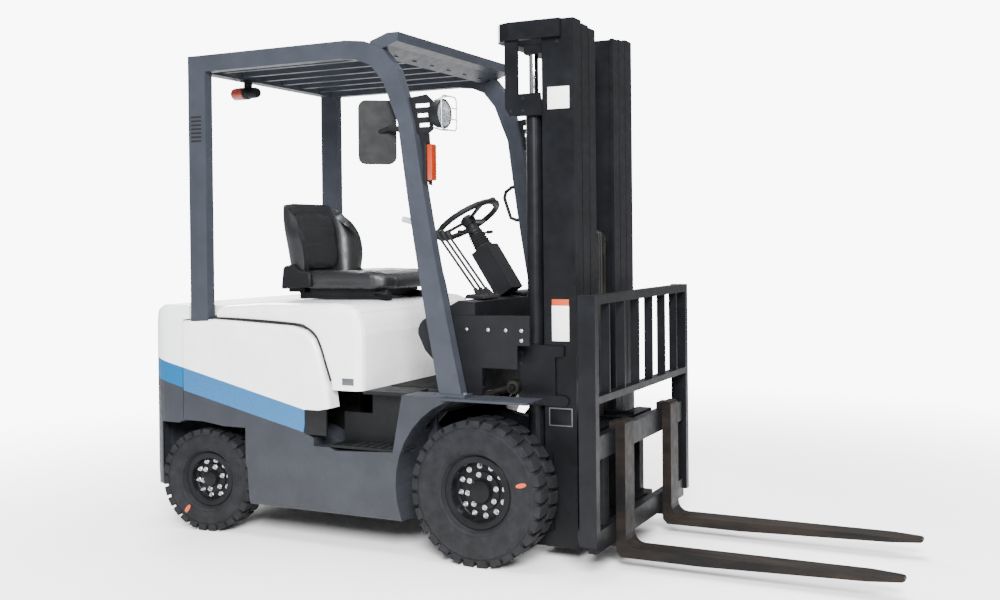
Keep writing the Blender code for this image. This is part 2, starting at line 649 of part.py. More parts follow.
def guard_side_outline():
    """Side view of a roof rail with its front leg, as one bent profile."""
    outer, inner = [], []
    for step in range(8):
        height = 0.6625 + (1.780 - 0.6625) * step / 7.0
        outer.append((leg_front(height), height))
        inner.append((leg_centre(height) - leg_half(height), height))
    bend_outer = [(-0.315, 1.880), (-0.356, 2.000), (-0.425, 2.085), (-0.520, 2.125), (-0.610, GUARD_TOP)]
    bend_inner = [(-0.385, 1.850), (-0.425, 1.950), (-0.485, 2.022), (-0.560, 2.052),
                  (-0.640, GUARD_TOP - GUARD_RAIL_DEPTH)]
    rear = PILLAR_REAR_BACK
    ahead = rear + PILLAR_REAR_DEPTH
    tail = [(rear, GUARD_TOP), (rear, waist(rear) + FIT_GAP), (ahead, waist(ahead) + FIT_GAP),
            (ahead, GUARD_TOP - GUARD_RAIL_DEPTH)]
    return outer + bend_outer + tail + list(reversed(bend_inner)) + list(reversed(inner))


def add_guard(truck):
    """Overhead guard: two bent sides, cross members and roof slats."""
    inner = GUARD_HALF_WIDTH - GUARD_TUBE_WIDTH
    guard = prism(guard_side_outline(), "y", -GUARD_HALF_WIDTH, -inner)
    unite(guard, prism(guard_side_outline(), "y", inner, GUARD_HALF_WIDTH))
    reach = inner + 0.010
    rear = PILLAR_REAR_BACK
    unite(guard, box((rear + 0.010, rear + 0.070), (-reach, reach), (2.062, 2.122)))
    header = [(-0.480, 2.066), (-0.400, 2.100), (-0.356, 2.112), (-0.350, 2.150), (-0.405, 2.150),
              (-0.490, 2.122)]
    unite(guard, prism(header, "y", -GUARD_HALF_WIDTH + 0.004, GUARD_HALF_WIDTH - 0.004))
    for index in range(6):
        across = -0.365 + 0.146 * index
        unite(guard, box((rear + 0.060, -0.450), (across - 0.012, across + 0.012), (2.074, 2.112)))
    for sign in (-1, 1):
        foot = sorted((sign * (GUARD_HALF_WIDTH - 0.062), sign * (GUARD_HALF_WIDTH + 0.006)))
        unite(guard, box((-0.185, -0.052), foot, (0.6625, 0.676)))
    place(guard, "overhead_guard", SLATE, truck)
    pane = box((rear + 0.080, -0.495), (-inner + 0.012, inner - 0.012), (2.1125, 2.1165))
    place(pane, "roof_panel", CLEAR, truck)


def add_lamps(truck):
    """Headlights on brackets at the front legs, with a direction lamp under each."""
    inner = GUARD_HALF_WIDTH - GUARD_TUBE_WIDTH
    for side, sign in (("right", -1), ("left", 1)):
        across = sign * (inner + GUARD_TUBE_WIDTH * 0.5)
        off = 0.0008
        plate = [(leg_front(1.730) + off, 1.730), (leg_front(1.780) + off, 1.780), (-0.3135, 1.880),
                 (-0.225, 1.890), (-0.195, 1.860), (-0.195, 1.740), (-0.225, 1.720)]
        lamps = prism(plate, "y", *sorted((across, across + sign * 0.006)))
        lamp = lathe([(0.0, -0.045), (0.030, -0.045), (0.056, -0.010), (0.060, 0.015), (0.0, 0.022)],
                     20, "x", (-0.165, across, 1.805))
        unite(lamps, lamp)
        low = 1.520
        strip = [(leg_front(low) + off, low), (leg_front(low + 0.11) + off, low + 0.11),
                 (leg_front(low + 0.22) + off, low + 0.22), (-0.215, low + 0.215), (-0.205, low - 0.005)]
        unite(lamps, prism(strip, "y", *sorted((across, across + sign * 0.006))))
        amber = box((-0.232, -0.200), sorted((across - sign * 0.018, across + sign * 0.030)),
                    (low + 0.010, low + 0.170))
        unite(lamps, amber)
        place(lamps, "%s_lamps" % side, BLACK, truck, True)


def add_mirror(truck):
    """Mirror on the right front leg, turned towards the driver's head."""
    shell = prism([(-0.078, -0.132), (0.078, -0.132), (0.078, 0.132), (-0.078, 0.132)], "x", -0.014, 0.014)
    bevel_where(shell, 0.030, 3, lambda a, b: abs(a.x - b.x) > 0.01)
    turn = Matrix.Rotation(math.radians(-52.0), 4, "Z")
    shell.data.transform(Matrix.Translation((-0.470, -0.488, 1.745)) @ turn)
    unite(shell, bar_between((-0.462, -0.488, 1.745), (-0.405, -0.494, 1.760), 0.010, 10))
    unite(shell, bar_between((-0.408, -0.494, 1.760), (-0.3554, -0.494, 1.752), 0.012, 10))
    place(shell, "mirror", PLASTIC, truck)


def add_beacon(truck):
    """Warning lamp lying under the rear cross member."""
    lamp = cylinder("x", (0.0, -0.180, 2.005), 0.030, -1.495, -1.350, 18)
    unite(lamp, box((-1.430, -1.400), (-0.195, -0.165), (2.010, 2.0617)))
    place(lamp, "beacon", AMBER, truck, True)


def add_grab_handle(truck):
    """Bent grab handle behind the left front leg."""
    across = GUARD_HALF_WIDTH - GUARD_TUBE_WIDTH * 0.5
    upper, lower = 1.555, 1.390
    off = 0.0024
    start = leg_centre(upper) - leg_half(upper) - off
    end = leg_centre(lower) - leg_half(lower) - off
    route = [(start, upper), (start - 0.020, 1.552), (start - 0.052, 1.530), (start - 0.060, 1.500),
             (end - 0.062, 1.435), (end - 0.050, 1.402), (end - 0.020, 1.391), (end, lower)]
    tube = bent_tube([(x, across, z) for x, z in route], 0.009)
    place(tube, "grab_handle", PLASTIC, truck, True)


# ---------------------------------------------------------------- seat
def add_seat(hinge):
    """Seat rails, cushion and wrap-round back."""
    base = box((-1.120, -0.640), (-0.175, -0.135), (1.0303, 1.060))
    unite(base, box((-1.120, -0.640), (0.135, 0.175), (1.0303, 1.060)))
    unite(base, box((-1.060, -0.700), (-0.180, 0.180), (1.045, 1.0797)))
    unite(base, box((-1.190, -1.100), (-0.170, 0.170), (1.055, 1.120)))
    cut(base, box((-1.30, -1.128), (-0.3, 0.3), (1.0, 1.06)))
    place(base, "seat_base", BLACK, hinge)
    cushion = prism([(-1.080, 1.080), (-0.620, 1.080), (-0.588, 1.100), (-0.590, 1.140), (-0.640, 1.165),
                     (-0.820, 1.150), (-1.020, 1.155), (-1.080, 1.170)], "y", -0.245, 0.245)
    bevel_where(cushion, 0.030, 3, lambda a, b: min(abs(a.y), abs(b.y)) > 0.24 and min(a.z, b.z) > 1.09)
    place(cushion, "seat_cushion", VINYL, hinge)
    plan = [(-1.215, -0.150), (-1.180, -0.220), (-1.075, -0.245), (-1.070, -0.205), (-1.120, -0.175),
            (-1.140, -0.100)]
    plan += [(x, -y) for x, y in reversed(plan)]
    back = prism(plan, "z", 1.1725, 1.490)
    lean = Matrix.Translation((-1.15, 0.0, 1.17)) @ Matrix.Rotation(math.radians(-7.0), 4, "Y")
    back.data.transform(lean @ Matrix.Translation((1.15, 0.0, -1.17)))
    cut(back, box((-1.5, -0.8), (-0.5, 0.5), (1.0, 1.1752)))
    bevel_where(back, 0.025, 2, lambda a, b: min(a.z, b.z) > 1.45)
    unite(back, box((-1.185, -1.140), (-0.090, 0.090), (1.1205, 1.200)))
    place(back, "seat_back", VINYL, hinge)


# ---------------------------------------------------------------- mast
def rail(outer, inner, low, high, shape):
    """One mast rail on the left side; shape "c" opens inwards, "i" opens both ways."""
    web_out = outer if shape == "c" else (outer + inner + RAIL_WEB) * 0.5
    web_in = web_out - RAIL_WEB
    front, rear = MAST_FRONT, MAST_REAR
    outline = [(rear, inner), (rear, outer), (front, outer), (front, inner), (front - RAIL_FLANGE, inner),
               (front - RAIL_FLANGE, web_in), (rear + RAIL_FLANGE, web_in), (rear + RAIL_FLANGE, inner)]
    item = prism(outline, "z", low, high)
    if shape == "i":
        length = (rear + RAIL_FLANGE, front - RAIL_FLANGE)
        cut(item, box(length, (web_out, outer + 0.01), (low - 0.01, high + 0.01)))
    return item


def roller(face, end, height, x=0.280):
    """A roller on its stub, from a rail's face to its outer end, along Y."""
    return cylinder("y", (x, 0.0, height), ROLLER_RADIUS, *sorted((face, end)), 20)


def add_outer_mast(tilt):
    """Outer stage: channel rails, U-shaped top and middle ties, tilt brackets and axle hooks."""
    left = rail(RAIL_OUTER_OUT, RAIL_OUTER_IN, MAST_FOOT, MAST_TOP, "c")
    inner_face = RAIL_OUTER_OUT - RAIL_WEB
    unite(left, cylinder("y", (0.280, 0.0, 2.085), 0.020, 0.224, inner_face + 0.004, 16))
    unite(left, roller(0.238, 0.219, 2.085))
    # tilt bracket with two rounded fingers
    wing = [(0.300, 0.865), (0.080, 0.870), (0.050, 0.840), (0.050, 0.690)]
    wing += arc(TILT_PIN, 0.032, 180.0, 290.0, 5)
    wing += [(0.110, 0.625), (0.300, 0.625)]
    wing += arc((0.300, 0.645), 0.020, -90.0, 90.0, 5)
    wing += [(0.262, 0.668), (0.262, 0.820), (0.300, 0.825)]
    bracket = prism(wing, "y", RAIL_OUTER_OUT - 0.002, RAIL_OUTER_OUT + 0.012)
    unite(left, bracket)
    centre = (TILT_PIN[0], 0.0, TILT_PIN[1])
    unite(left, cylinder("y", centre, TILT_PIN_RADIUS, RAIL_OUTER_OUT + 0.010, TILT_Y + 0.024, 16))
    # hook round the axle housing
    hook = [(0.250, 0.130), (0.250, 0.430), (0.150, 0.410), (0.060, 0.380)]
    hook += arc((0.0, MAST_PIVOT_Z), 0.088, 60.0, 300.0, 10)
    hook += [(0.080, 0.190)]
    plate = prism(hook, "y", RAIL_OUTER_OUT - 0.001, RAIL_OUTER_OUT + 0.022)
    cut(plate, cylinder("y", (0.0, 0.0, MAST_PIVOT_Z), AXLE_TUBE_RADIUS + PIN_GAP, 0.20, 0.40, 24))
    unite(left, plate)
    right = mirrored(left)
    unite(left, right)
    # U-shaped top beam round the lift cylinders
    outside = [(0.300, RAIL_OUTER_OUT - 0.001), (0.300, 0.347), (0.070, 0.347), (0.022, 0.328),
               (-0.006, 0.290)]
    beam = prism(outside + [(x, -y) for x, y in reversed(outside)], "z", 2.103, MAST_TOP - 0.001)
    inside = [(0.400, RAIL_OUTER_OUT - 0.0015), (0.110, RAIL_OUTER_OUT - 0.0015), (0.078, 0.314),
              (0.052, 0.285)]
    hollow = inside + [(x, -y) for x, y in reversed(inside)]
    cut(beam, prism(hollow, "z", 2.0, 2.3))
    unite(left, beam)
    # middle tie behind the cylinders
    ring = [(0.100, 0.337), (0.070, 0.337), (0.050, 0.300), (0.050, -0.300), (0.070, -0.337), (0.100, -0.337),
            (0.100, -0.322), (0.084, -0.318), (0.080, -0.290), (0.080, 0.290), (0.084, 0.318), (0.100, 0.322)]
    unite(left, prism(ring, "z", 0.730, 0.850))
    # bottom tie
    unite(left, box((TIE_OUTER, TIE_OUTER + TIE_THICK), (-0.318, 0.318), (MAST_FOOT, 0.120)))
    for sign in (-1, 1):
        across = sorted((sign * (RAIL_OUTER_IN + 0.002), sign * 0.318))
        unite(left, box((TIE_OUTER, MAST_REAR + 0.004), across, (MAST_FOOT + 0.001, 0.119)))
    # cylinder seats and head clamps
    for sign in (-1, 1):
        seat = box((LIFT_X - 0.036, MAST_REAR + 0.004), sorted((sign * 0.250, sign * 0.318)), (0.130, 0.150))
        unite(left, seat)
        guide = [(0.047, 2.110), (0.105, 2.110), (0.105, 1.885), (0.205, 1.885), (0.212, 1.795), (0.070, 1.795),
                 (0.047, 1.830)]
        unite(left, prism(guide, "y", *sorted((sign * 0.3210, sign * 0.3330))))
        collar = box((LIFT_X - 0.045, MAST_REAR + 0.004), sorted((sign * 0.2480, sign * 0.3280)), (1.800, 1.840))
        cut(collar, cylinder("z", (LIFT_X, sign * LIFT_Y, 0.0), LIFT_BARREL_RADIUS + FIT_GAP, 1.7, 1.9, 24))
        unite(left, collar)
    place(left, "outer_mast", BLACK, tilt)


def add_middle_mast(stage):
    """Middle stage with the top tie that the lift rods push on."""
    low, high = MAST_FOOT + 0.006, MAST_TOP - 0.010
    left = rail(RAIL_MIDDLE_OUT, RAIL_MIDDLE_IN, low, high, "i")
    web_out = (RAIL_MIDDLE_OUT + RAIL_MIDDLE_IN + RAIL_WEB) * 0.5
    web_in = web_out - RAIL_WEB
    unite(left, cylinder("y", (0.280, 0.0, 0.180), 0.020, web_out - 0.004, 0.296, 16))
    unite(left, roller(0.250, 0.298, 0.180))
    unite(left, cylinder("y", (0.280, 0.0, 2.075), 0.020, 0.150, web_in + 0.004, 16))
    unite(left, roller(0.164, 0.1475, 2.075))
    right = mirrored(left)
    unite(left, right)
    rear = MAST_REAR
    half = RAIL_MIDDLE_OUT - 0.002
    for span in ((low, low + 0.080), (high - 0.130, high - 0.070)):
        unite(left, box((TIE_MIDDLE, TIE_MIDDLE + TIE_THICK), (-half, half), span))
        for sign in (-1, 1):
            across = sorted((sign * (RAIL_MIDDLE_IN + 0.002), sign * (half - 0.001)))
            unite(left, box((TIE_MIDDLE + 0.002, rear + 0.004), across, (span[0] + 0.001, span[1] - 0.001)))
    for sign in (-1, 1):
        ear = box((LIFT_X - 0.030, TIE_MIDDLE + TIE_THICK - 0.001), sorted((sign * 0.190, sign * 0.312)),
                  (high - 0.120, high - 0.080))
        unite(left, ear)
    place(left, "middle_mast", BLACK, stage)


def add_inner_mast(stage):
    """Inner stage that the carriage climbs in, with the free lift cylinder's foot."""
    low, high = MAST_FOOT + 0.012, MAST_TOP - 0.016
    left = rail(RAIL_INNER_OUT, RAIL_INNER_IN, low, high, "i")
    web_out = (RAIL_INNER_OUT + RAIL_INNER_IN + RAIL_WEB) * 0.5
    unite(left, cylinder("y", (0.280, 0.0, 0.190), 0.020, web_out - 0.004, 0.190, 16))
    unite(left, roller(0.174, 0.193, 0.190))
    right = mirrored(left)
    unite(left, right)
    rear = MAST_REAR
    half = RAIL_INNER_OUT - 0.002
    unite(left, box((rear, rear + 0.0155), (-half, half), (high - 0.060, high - 0.002)))
    unite(left, box((rear, rear + 0.0155), (-half, half), (low + 0.002, low + 0.060)))
    unite(left, box((rear + 0.010, FREE_LIFT_X + 0.036), (-0.045, 0.045), (low + 0.002, low + 0.060)))
    place(left, "inner_mast", BLACK, stage)


def add_lift_cylinders(tilt, middle):
    """Two lift cylinders: bored barrels on the outer stage, rods on the middle one."""
    top = MAST_TOP - 0.010 - 0.120
    for side, sign in (("right", -1), ("left", 1)):
        centre = (LIFT_X, sign * LIFT_Y, 0.0)
        bore = LIFT_ROD_RADIUS + PIN_GAP
        profile = [(0.0, 0.1503), (LIFT_BARREL_RADIUS, 0.1503), (LIFT_BARREL_RADIUS, LIFT_BARREL_TOP),
                   (bore, LIFT_BARREL_TOP), (bore, 0.180), (0.0, 0.180)]
        barrel = lathe(profile, 24, "z", centre)
        place(barrel, "%s_lift_cylinder" % side, BLACK, tilt, True)
        rod = cylinder("z", centre, LIFT_ROD_RADIUS, 0.190, top - FIT_GAP, 20)
        place(rod, "%s_lift_rod" % side, CHROME, middle, True)


def add_free_lift(inner, crosshead):
    """Free lift cylinder in the middle of the inner stage, with its chain wheels."""
    x, bottom, top = FREE_LIFT_X, MAST_FOOT + 0.012 + 0.060, 1.230
    bore = 0.019 + PIN_GAP
    barrel = lathe([(0.0, bottom + FIT_GAP), (0.036, bottom + FIT_GAP), (0.036, top), (bore, top),
                    (bore, bottom + 0.030), (0.0, bottom + 0.030)], 24, "z", (x, 0.0, 0.0))
    place(barrel, "free_lift_cylinder", BLACK, inner, True)
    head = cylinder("z", (x, 0.0, 0.0), 0.019, bottom + 0.036, top + 0.010, 20)
    unite(head, box((x - 0.022, x + 0.022), (-0.060, 0.060), (top + 0.006, top + 0.050)))
    for sign in (-1, 1):
        across = sorted((sign * 0.030, sign * 0.055))
        unite(head, cylinder("y", (x + 0.020, 0.0, top + 0.060), 0.040, across[0], across[1], 24))
    place(head, "free_lift_crosshead", CHROME, crosshead, True)


def add_tilt_cylinders(cylinders, rods):
    """Tilt cylinders: barrels turning on the frame, rods with a clevis round the mast's pin."""
    base = Vector((TILT_BASE[0], 0.0, TILT_BASE[1]))
    pin = Vector((TILT_PIN[0], 0.0, TILT_PIN[1]))
    along = (pin - base).normalized()
    reach = (pin - base).length
    pitch = -math.atan2(along.z, along.x)
    for side, sign in (("right", -1), ("left", 1)):
        frame = Matrix.Translation(base + Vector((0.0, sign * TILT_Y, 0.0))) @ Matrix.Rotation(pitch, 4, "Y")
        bore = TILT_ROD_RADIUS + PIN_GAP
        barrel = lathe([(0.0, 0.040), (TILT_BARREL_RADIUS, 0.040), (TILT_BARREL_RADIUS, 0.300), (bore, 0.300),
                        (bore, 0.070), (0.0, 0.070)], 20, "x", (0.0, 0.0, 0.0))
        eye = box((-0.020, 0.050), (-0.014, 0.014), (-0.020, 0.020))
        unite(barrel, eye, cylinder("y", (0.0, 0.0, 0.0), 0.022, -0.0277, 0.014, 16))
        if sign < 0:
            barrel.data.transform(Matrix.Scale(-1.0, 4, (0.0, 1.0, 0.0)))
            barrel.data.flip_normals()
        barrel.data.transform(frame)
        place(barrel, "%s_tilt_cylinder" % side, BLACK, cylinders[side], True)
        rod = cylinder("x", (0.0, 0.0, 0.0), TILT_ROD_RADIUS, 0.130, reach - 0.022, 16)
        ring = [(TILT_EYE_RADIUS, -0.015), (0.028, -0.015), (0.028, 0.015), (TILT_EYE_RADIUS, 0.015)]
        unite(rod, lathe(ring, 20, "y", (reach, 0.0, 0.0)))
        rod.data.transform(frame)
        place(rod, "%s_tilt_rod" % side, CHROME, rods[side], True)


# ---------------------------------------------------------------- carriage and forks
def add_carriage(lift):
    """Carriage with its roller plates and two thin cross plates."""
    body = box((0.372, 0.440), (-0.300, 0.300), (0.475, 0.540))
    unite(body, box((0.372, 0.440), (-0.300, 0.300), (0.115, 0.175)))
    for sign in (-1, 1):
        plate = box((0.245, 0.438), sorted((sign * 0.068, sign * 0.084)), (0.100, 0.555))
        for height in (0.165, 0.490):
            unite(plate, roller(sign * 0.080, sign * 0.114, height))
        unite(body, plate)
        unite(body, box((0.372, 0.400), sorted((sign * 0.250, sign * 0.300)), (0.115, 0.540)))
    place(body, "carriage", BLACK, lift)


def add_fork_frame(shift):
    """Side shifting frame that carries the forks: two bars and two uprights."""
    rear = BAR_FRONT - BAR_DEPTH
    frame = box((rear, BAR_FRONT), (-BAR_HALF, BAR_HALF), UPPER_BAR)
    unite(frame, box((rear, BAR_FRONT), (-BAR_HALF, BAR_HALF), LOWER_BAR))
    for sign in (-1, 1):
        across = sorted((sign * 0.360, sign * 0.420))
        unite(frame, box((rear + 0.002, BAR_FRONT - 0.014), across, (LOWER_BAR[0] + 0.01, UPPER_BAR[1] - 0.01)))
    unite(frame, box((0.4405, rear + 0.004), (-0.240, 0.240), (0.484, 0.530)))
    unite(frame, box((0.4405, rear + 0.004), (-0.240, 0.240), (0.124, 0.166)))
    place(frame, "fork_frame", BLACK, shift)


def add_backrest(shift):
    """Load backrest: top and bottom bars, slats and two side plates."""
    rear = BACKREST_FRONT - BACKREST_DEPTH
    rest = box((BACKREST_FRONT - 0.040, BACKREST_FRONT), (-BACKREST_HALF, BACKREST_HALF), (1.047, BACKREST_TOP))
    unite(rest, box((BACKREST_FRONT - 0.040, BACKREST_FRONT), (-BACKREST_HALF, BACKREST_HALF), (0.673, 0.700)))
    for sign in (-1, 1):
        across = sorted((sign * (BAR_HALF + FIT_GAP), sign * BACKREST_HALF))
        unite(rest, box((rear, BACKREST_FRONT), across, (0.137, BACKREST_TOP)))
    for index in range(6):
        across = -0.4025 + 0.161 * index
        unite(rest, box((BACKREST_FRONT - 0.038, BACKREST_FRONT - 0.002), (across - 0.005, across + 0.005),
                        (0.690, 1.055)))
    place(rest, "load_backrest", BLACK, shift)


def tip_cutters(tip, low, high):
    """Cutters that narrow a fork's tip in plan."""
    cutters = []
    for edge, inward in ((low, 1.0), (high, -1.0)):
        plan = [(tip - 0.130, edge - inward * 0.02), (tip + 0.02, edge - inward * 0.02),
                (tip + 0.02, edge + inward * 0.030), (tip - 0.130, edge)]
        cutters.append(prism(plan, "z", -0.05, 0.2))
    return cutters


def add_forks(slides):
    """Two forks that hook over the bars."""
    front = FORK_BACK + FORK_THICK
    heel, tip = 0.045, FORK_BACK + FORK_LENGTH
    top = FORK_BOTTOM + FORK_THICK
    outline = [(FORK_BACK + 0.020, FORK_BOTTOM), (front + 0.30, FORK_BOTTOM), (tip - 0.010, 0.068),
               (tip, 0.074), (tip - 0.004, 0.083), (tip - 0.02, top), (front + heel, top)]
    outline += arc((front + heel, top + heel), heel, 270.0, 180.0, 4)[1:]
    outline += [(front, FORK_SHANK_TOP - 0.010), (front - 0.010, FORK_SHANK_TOP), (FORK_BACK, FORK_SHANK_TOP),
                (FORK_BACK, FORK_BOTTOM + 0.020)]
    for side, sign in (("right", -1), ("left", 1)):
        low, high = sorted((sign * (FORK_CENTRE - FORK_WIDTH * 0.5), sign * (FORK_CENTRE + FORK_WIDTH * 0.5)))
        fork = prism(outline, "y", low, high)
        hook_top = [(FORK_BACK + 0.002, UPPER_BAR[1] + FIT_GAP), (FORK_BACK + 0.002, FORK_SHANK_TOP - 0.006),
                    (FORK_BACK - 0.030, FORK_SHANK_TOP - 0.006), (FORK_BACK - 0.030, UPPER_BAR[1] + FIT_GAP)]
        unite(fork, prism(hook_top, "y", low + 0.010, high - 0.010))
        hook_low = [(FORK_BACK + 0.002, LOWER_BAR[0] - 0.001), (FORK_BACK - 0.030, LOWER_BAR[0] - 0.001),
                    (FORK_BACK - 0.030, LOWER_BAR[0] - 0.022), (FORK_BACK + 0.002, LOWER_BAR[0] - 0.022)]
        unite(fork, prism(hook_low, "y", low + 0.010, high - 0.010))
        cut(fork, *tip_cutters(tip, low, high))
        place(fork, "%s_fork" % side, STEEL, slides[side])


# ---------------------------------------------------------------- assembly
def build():
    """Build every piece and hang it on its joint."""
    clear_scene()
    truck = joint("truck", (0.0, 0.0, 0.0))
    front_end = FORK_BACK + FORK_LENGTH
    rear_end = WHEELBASE + REAR_OVERHANG
    truck.location.x = (rear_end - front_end) * 0.5

    add_front_wheels(truck)
    add_front_axle(truck)
    add_rear_axle(truck)
    add_chassis(truck)
    add_counterweight(truck)
    add_side_panels(truck)
    add_engine(truck)
    add_floor(truck)
    add_cowl(truck)

    steering_hub = (-0.320, 0.0, 1.385)
    add_column(truck, joint("steering", steering_hub, truck), steering_hub, math.radians(33.0))
    add_levers(truck)
    add_guard(truck)
    add_lamps(truck)
    add_mirror(truck)
    add_beacon(truck)
    add_grab_handle(truck)

    hood_hinge = joint("hood_hinge", (-1.338, 0.0, DECK_TOP), truck)
    add_hood(hood_hinge)
    add_seat(hood_hinge)

    tilt = joint("mast_tilt", (0.0, 0.0, MAST_PIVOT_Z), truck)
    middle = joint("middle_lift", (0.0, 0.0, MAST_PIVOT_Z), tilt)
    inner = joint("inner_lift", (0.0, 0.0, MAST_PIVOT_Z), middle)
    lift = joint("carriage_lift", (0.0, 0.0, MAST_PIVOT_Z), inner)
    crosshead = joint("free_lift", (0.0, 0.0, MAST_PIVOT_Z), inner)
    shift = joint("side_shift", (0.0, 0.0, MAST_PIVOT_Z), lift)
    add_outer_mast(tilt)
    add_middle_mast(middle)
    add_inner_mast(inner)
    add_lift_cylinders(tilt, middle)
    add_free_lift(inner, crosshead)
    add_carriage(lift)
    add_fork_frame(shift)
    add_backrest(shift)
    slides = {}
    for side in ("right", "left"):
        slides[side] = joint("%s_fork_slide" % side, (0.0, 0.0, MAST_PIVOT_Z), shift)
    add_forks(slides)

    cylinders, rods = {}, {}
    for side, sign in (("right", -1), ("left", 1)):
        cylinders[side] = joint("%s_tilt_pivot" % side, (TILT_BASE[0], sign * TILT_Y, TILT_BASE[1]), truck)
        rods[side] = joint("%s_tilt_slide" % side, (TILT_BASE[0], sign * TILT_Y, TILT_BASE[1]), cylinders[side])
    add_tilt_cylinders(cylinders, rods)


build()
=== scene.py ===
"""Looks of a small counterbalance forklift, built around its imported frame.

Lengths are metres. Places are given from the front axle's centre line, forward, to the left and
up from the ground, and are read off the frame's own boxes where a piece sits on a node.
"""

import json
import logging
import math
from collections.abc import Callable, Iterable, Sequence
from contextlib import contextmanager
from dataclasses import dataclass, field
from enum import Enum

import bpy
from mathutils import Matrix, Vector

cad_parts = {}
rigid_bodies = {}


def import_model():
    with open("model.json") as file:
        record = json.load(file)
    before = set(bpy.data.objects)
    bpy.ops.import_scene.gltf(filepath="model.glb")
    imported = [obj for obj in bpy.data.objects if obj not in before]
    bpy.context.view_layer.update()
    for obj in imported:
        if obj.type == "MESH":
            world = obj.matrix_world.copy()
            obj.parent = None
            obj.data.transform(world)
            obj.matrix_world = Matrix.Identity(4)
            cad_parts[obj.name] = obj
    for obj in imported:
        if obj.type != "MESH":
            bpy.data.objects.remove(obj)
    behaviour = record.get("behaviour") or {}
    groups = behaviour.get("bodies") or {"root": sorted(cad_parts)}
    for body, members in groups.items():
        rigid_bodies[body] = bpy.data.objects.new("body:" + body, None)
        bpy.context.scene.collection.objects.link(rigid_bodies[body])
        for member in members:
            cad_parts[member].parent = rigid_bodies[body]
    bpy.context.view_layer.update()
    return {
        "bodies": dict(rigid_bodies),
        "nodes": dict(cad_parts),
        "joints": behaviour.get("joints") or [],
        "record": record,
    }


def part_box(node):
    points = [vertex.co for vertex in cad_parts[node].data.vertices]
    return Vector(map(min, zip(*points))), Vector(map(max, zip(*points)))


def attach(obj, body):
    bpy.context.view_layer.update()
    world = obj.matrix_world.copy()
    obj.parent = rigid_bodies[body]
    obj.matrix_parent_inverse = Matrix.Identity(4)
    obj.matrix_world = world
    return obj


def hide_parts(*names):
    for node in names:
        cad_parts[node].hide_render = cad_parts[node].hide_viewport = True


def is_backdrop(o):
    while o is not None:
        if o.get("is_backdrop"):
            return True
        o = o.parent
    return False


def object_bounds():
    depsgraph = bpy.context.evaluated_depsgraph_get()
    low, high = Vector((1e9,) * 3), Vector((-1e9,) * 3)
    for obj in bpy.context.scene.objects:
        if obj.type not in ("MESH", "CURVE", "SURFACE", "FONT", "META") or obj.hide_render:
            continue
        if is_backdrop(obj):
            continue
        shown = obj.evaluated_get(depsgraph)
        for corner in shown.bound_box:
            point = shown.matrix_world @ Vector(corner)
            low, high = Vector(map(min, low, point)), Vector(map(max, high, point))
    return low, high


log = logging.getLogger("forklift")

MM = 0.001
REAR_STEER = 7.4                # degrees that the rear wheels are turned at rest
Point = Sequence[float]
Colour = tuple[float, float, float, float]


class Side(Enum):
    """A side of the truck, with the sign of Y there."""

    RIGHT = -1
    LEFT = 1

    @property
    def word(self) -> str:
        """The side's name, as the nodes use it."""
        return self.name.lower()


class Axis(Enum):
    """An axis that an outline is extruded along, with the two axes of the outline's plane."""

    X = (1, 2, 0)
    Y = (0, 2, 1)
    Z = (0, 1, 2)


# ------------------------------------------------------------------------------ finishes
def linear(hex_code: str) -> Colour:
    """Turn an sRGB hex colour to linear values.

    Args:
        hex_code: Six hex digits, with or without a leading #.

    Returns:
        Red, green, blue and an alpha of 1.
    """
    digits = hex_code.lstrip("#")
    parts = []
    for start in (0, 2, 4):
        value = int(digits[start:start + 2], 16) / 255.0
        parts.append(value / 12.92 if value <= 0.04045 else ((value + 0.055) / 1.055) ** 2.4)
    return (*parts, 1.0)


def add_node(tree: bpy.types.NodeTree, kind: str, settings: dict | None = None,
        links: dict | None = None) -> bpy.types.Node:
    """Add a shader node with its settings and links.

    Args:
        tree: The material's node tree.
        kind: The node's type name.
        settings: Values by input name, or by attribute name.
        links: Output sockets by input name.

    Returns:
        The new node.
    """
    node = tree.nodes.new(kind)
    for key, value in (settings or {}).items():
        if isinstance(key, int) or key in node.inputs:
            node.inputs[key].default_value = value
        else:
            setattr(node, key, value)
    for key, source in (links or {}).items():
        tree.links.new(source, node.inputs[key])
    return node


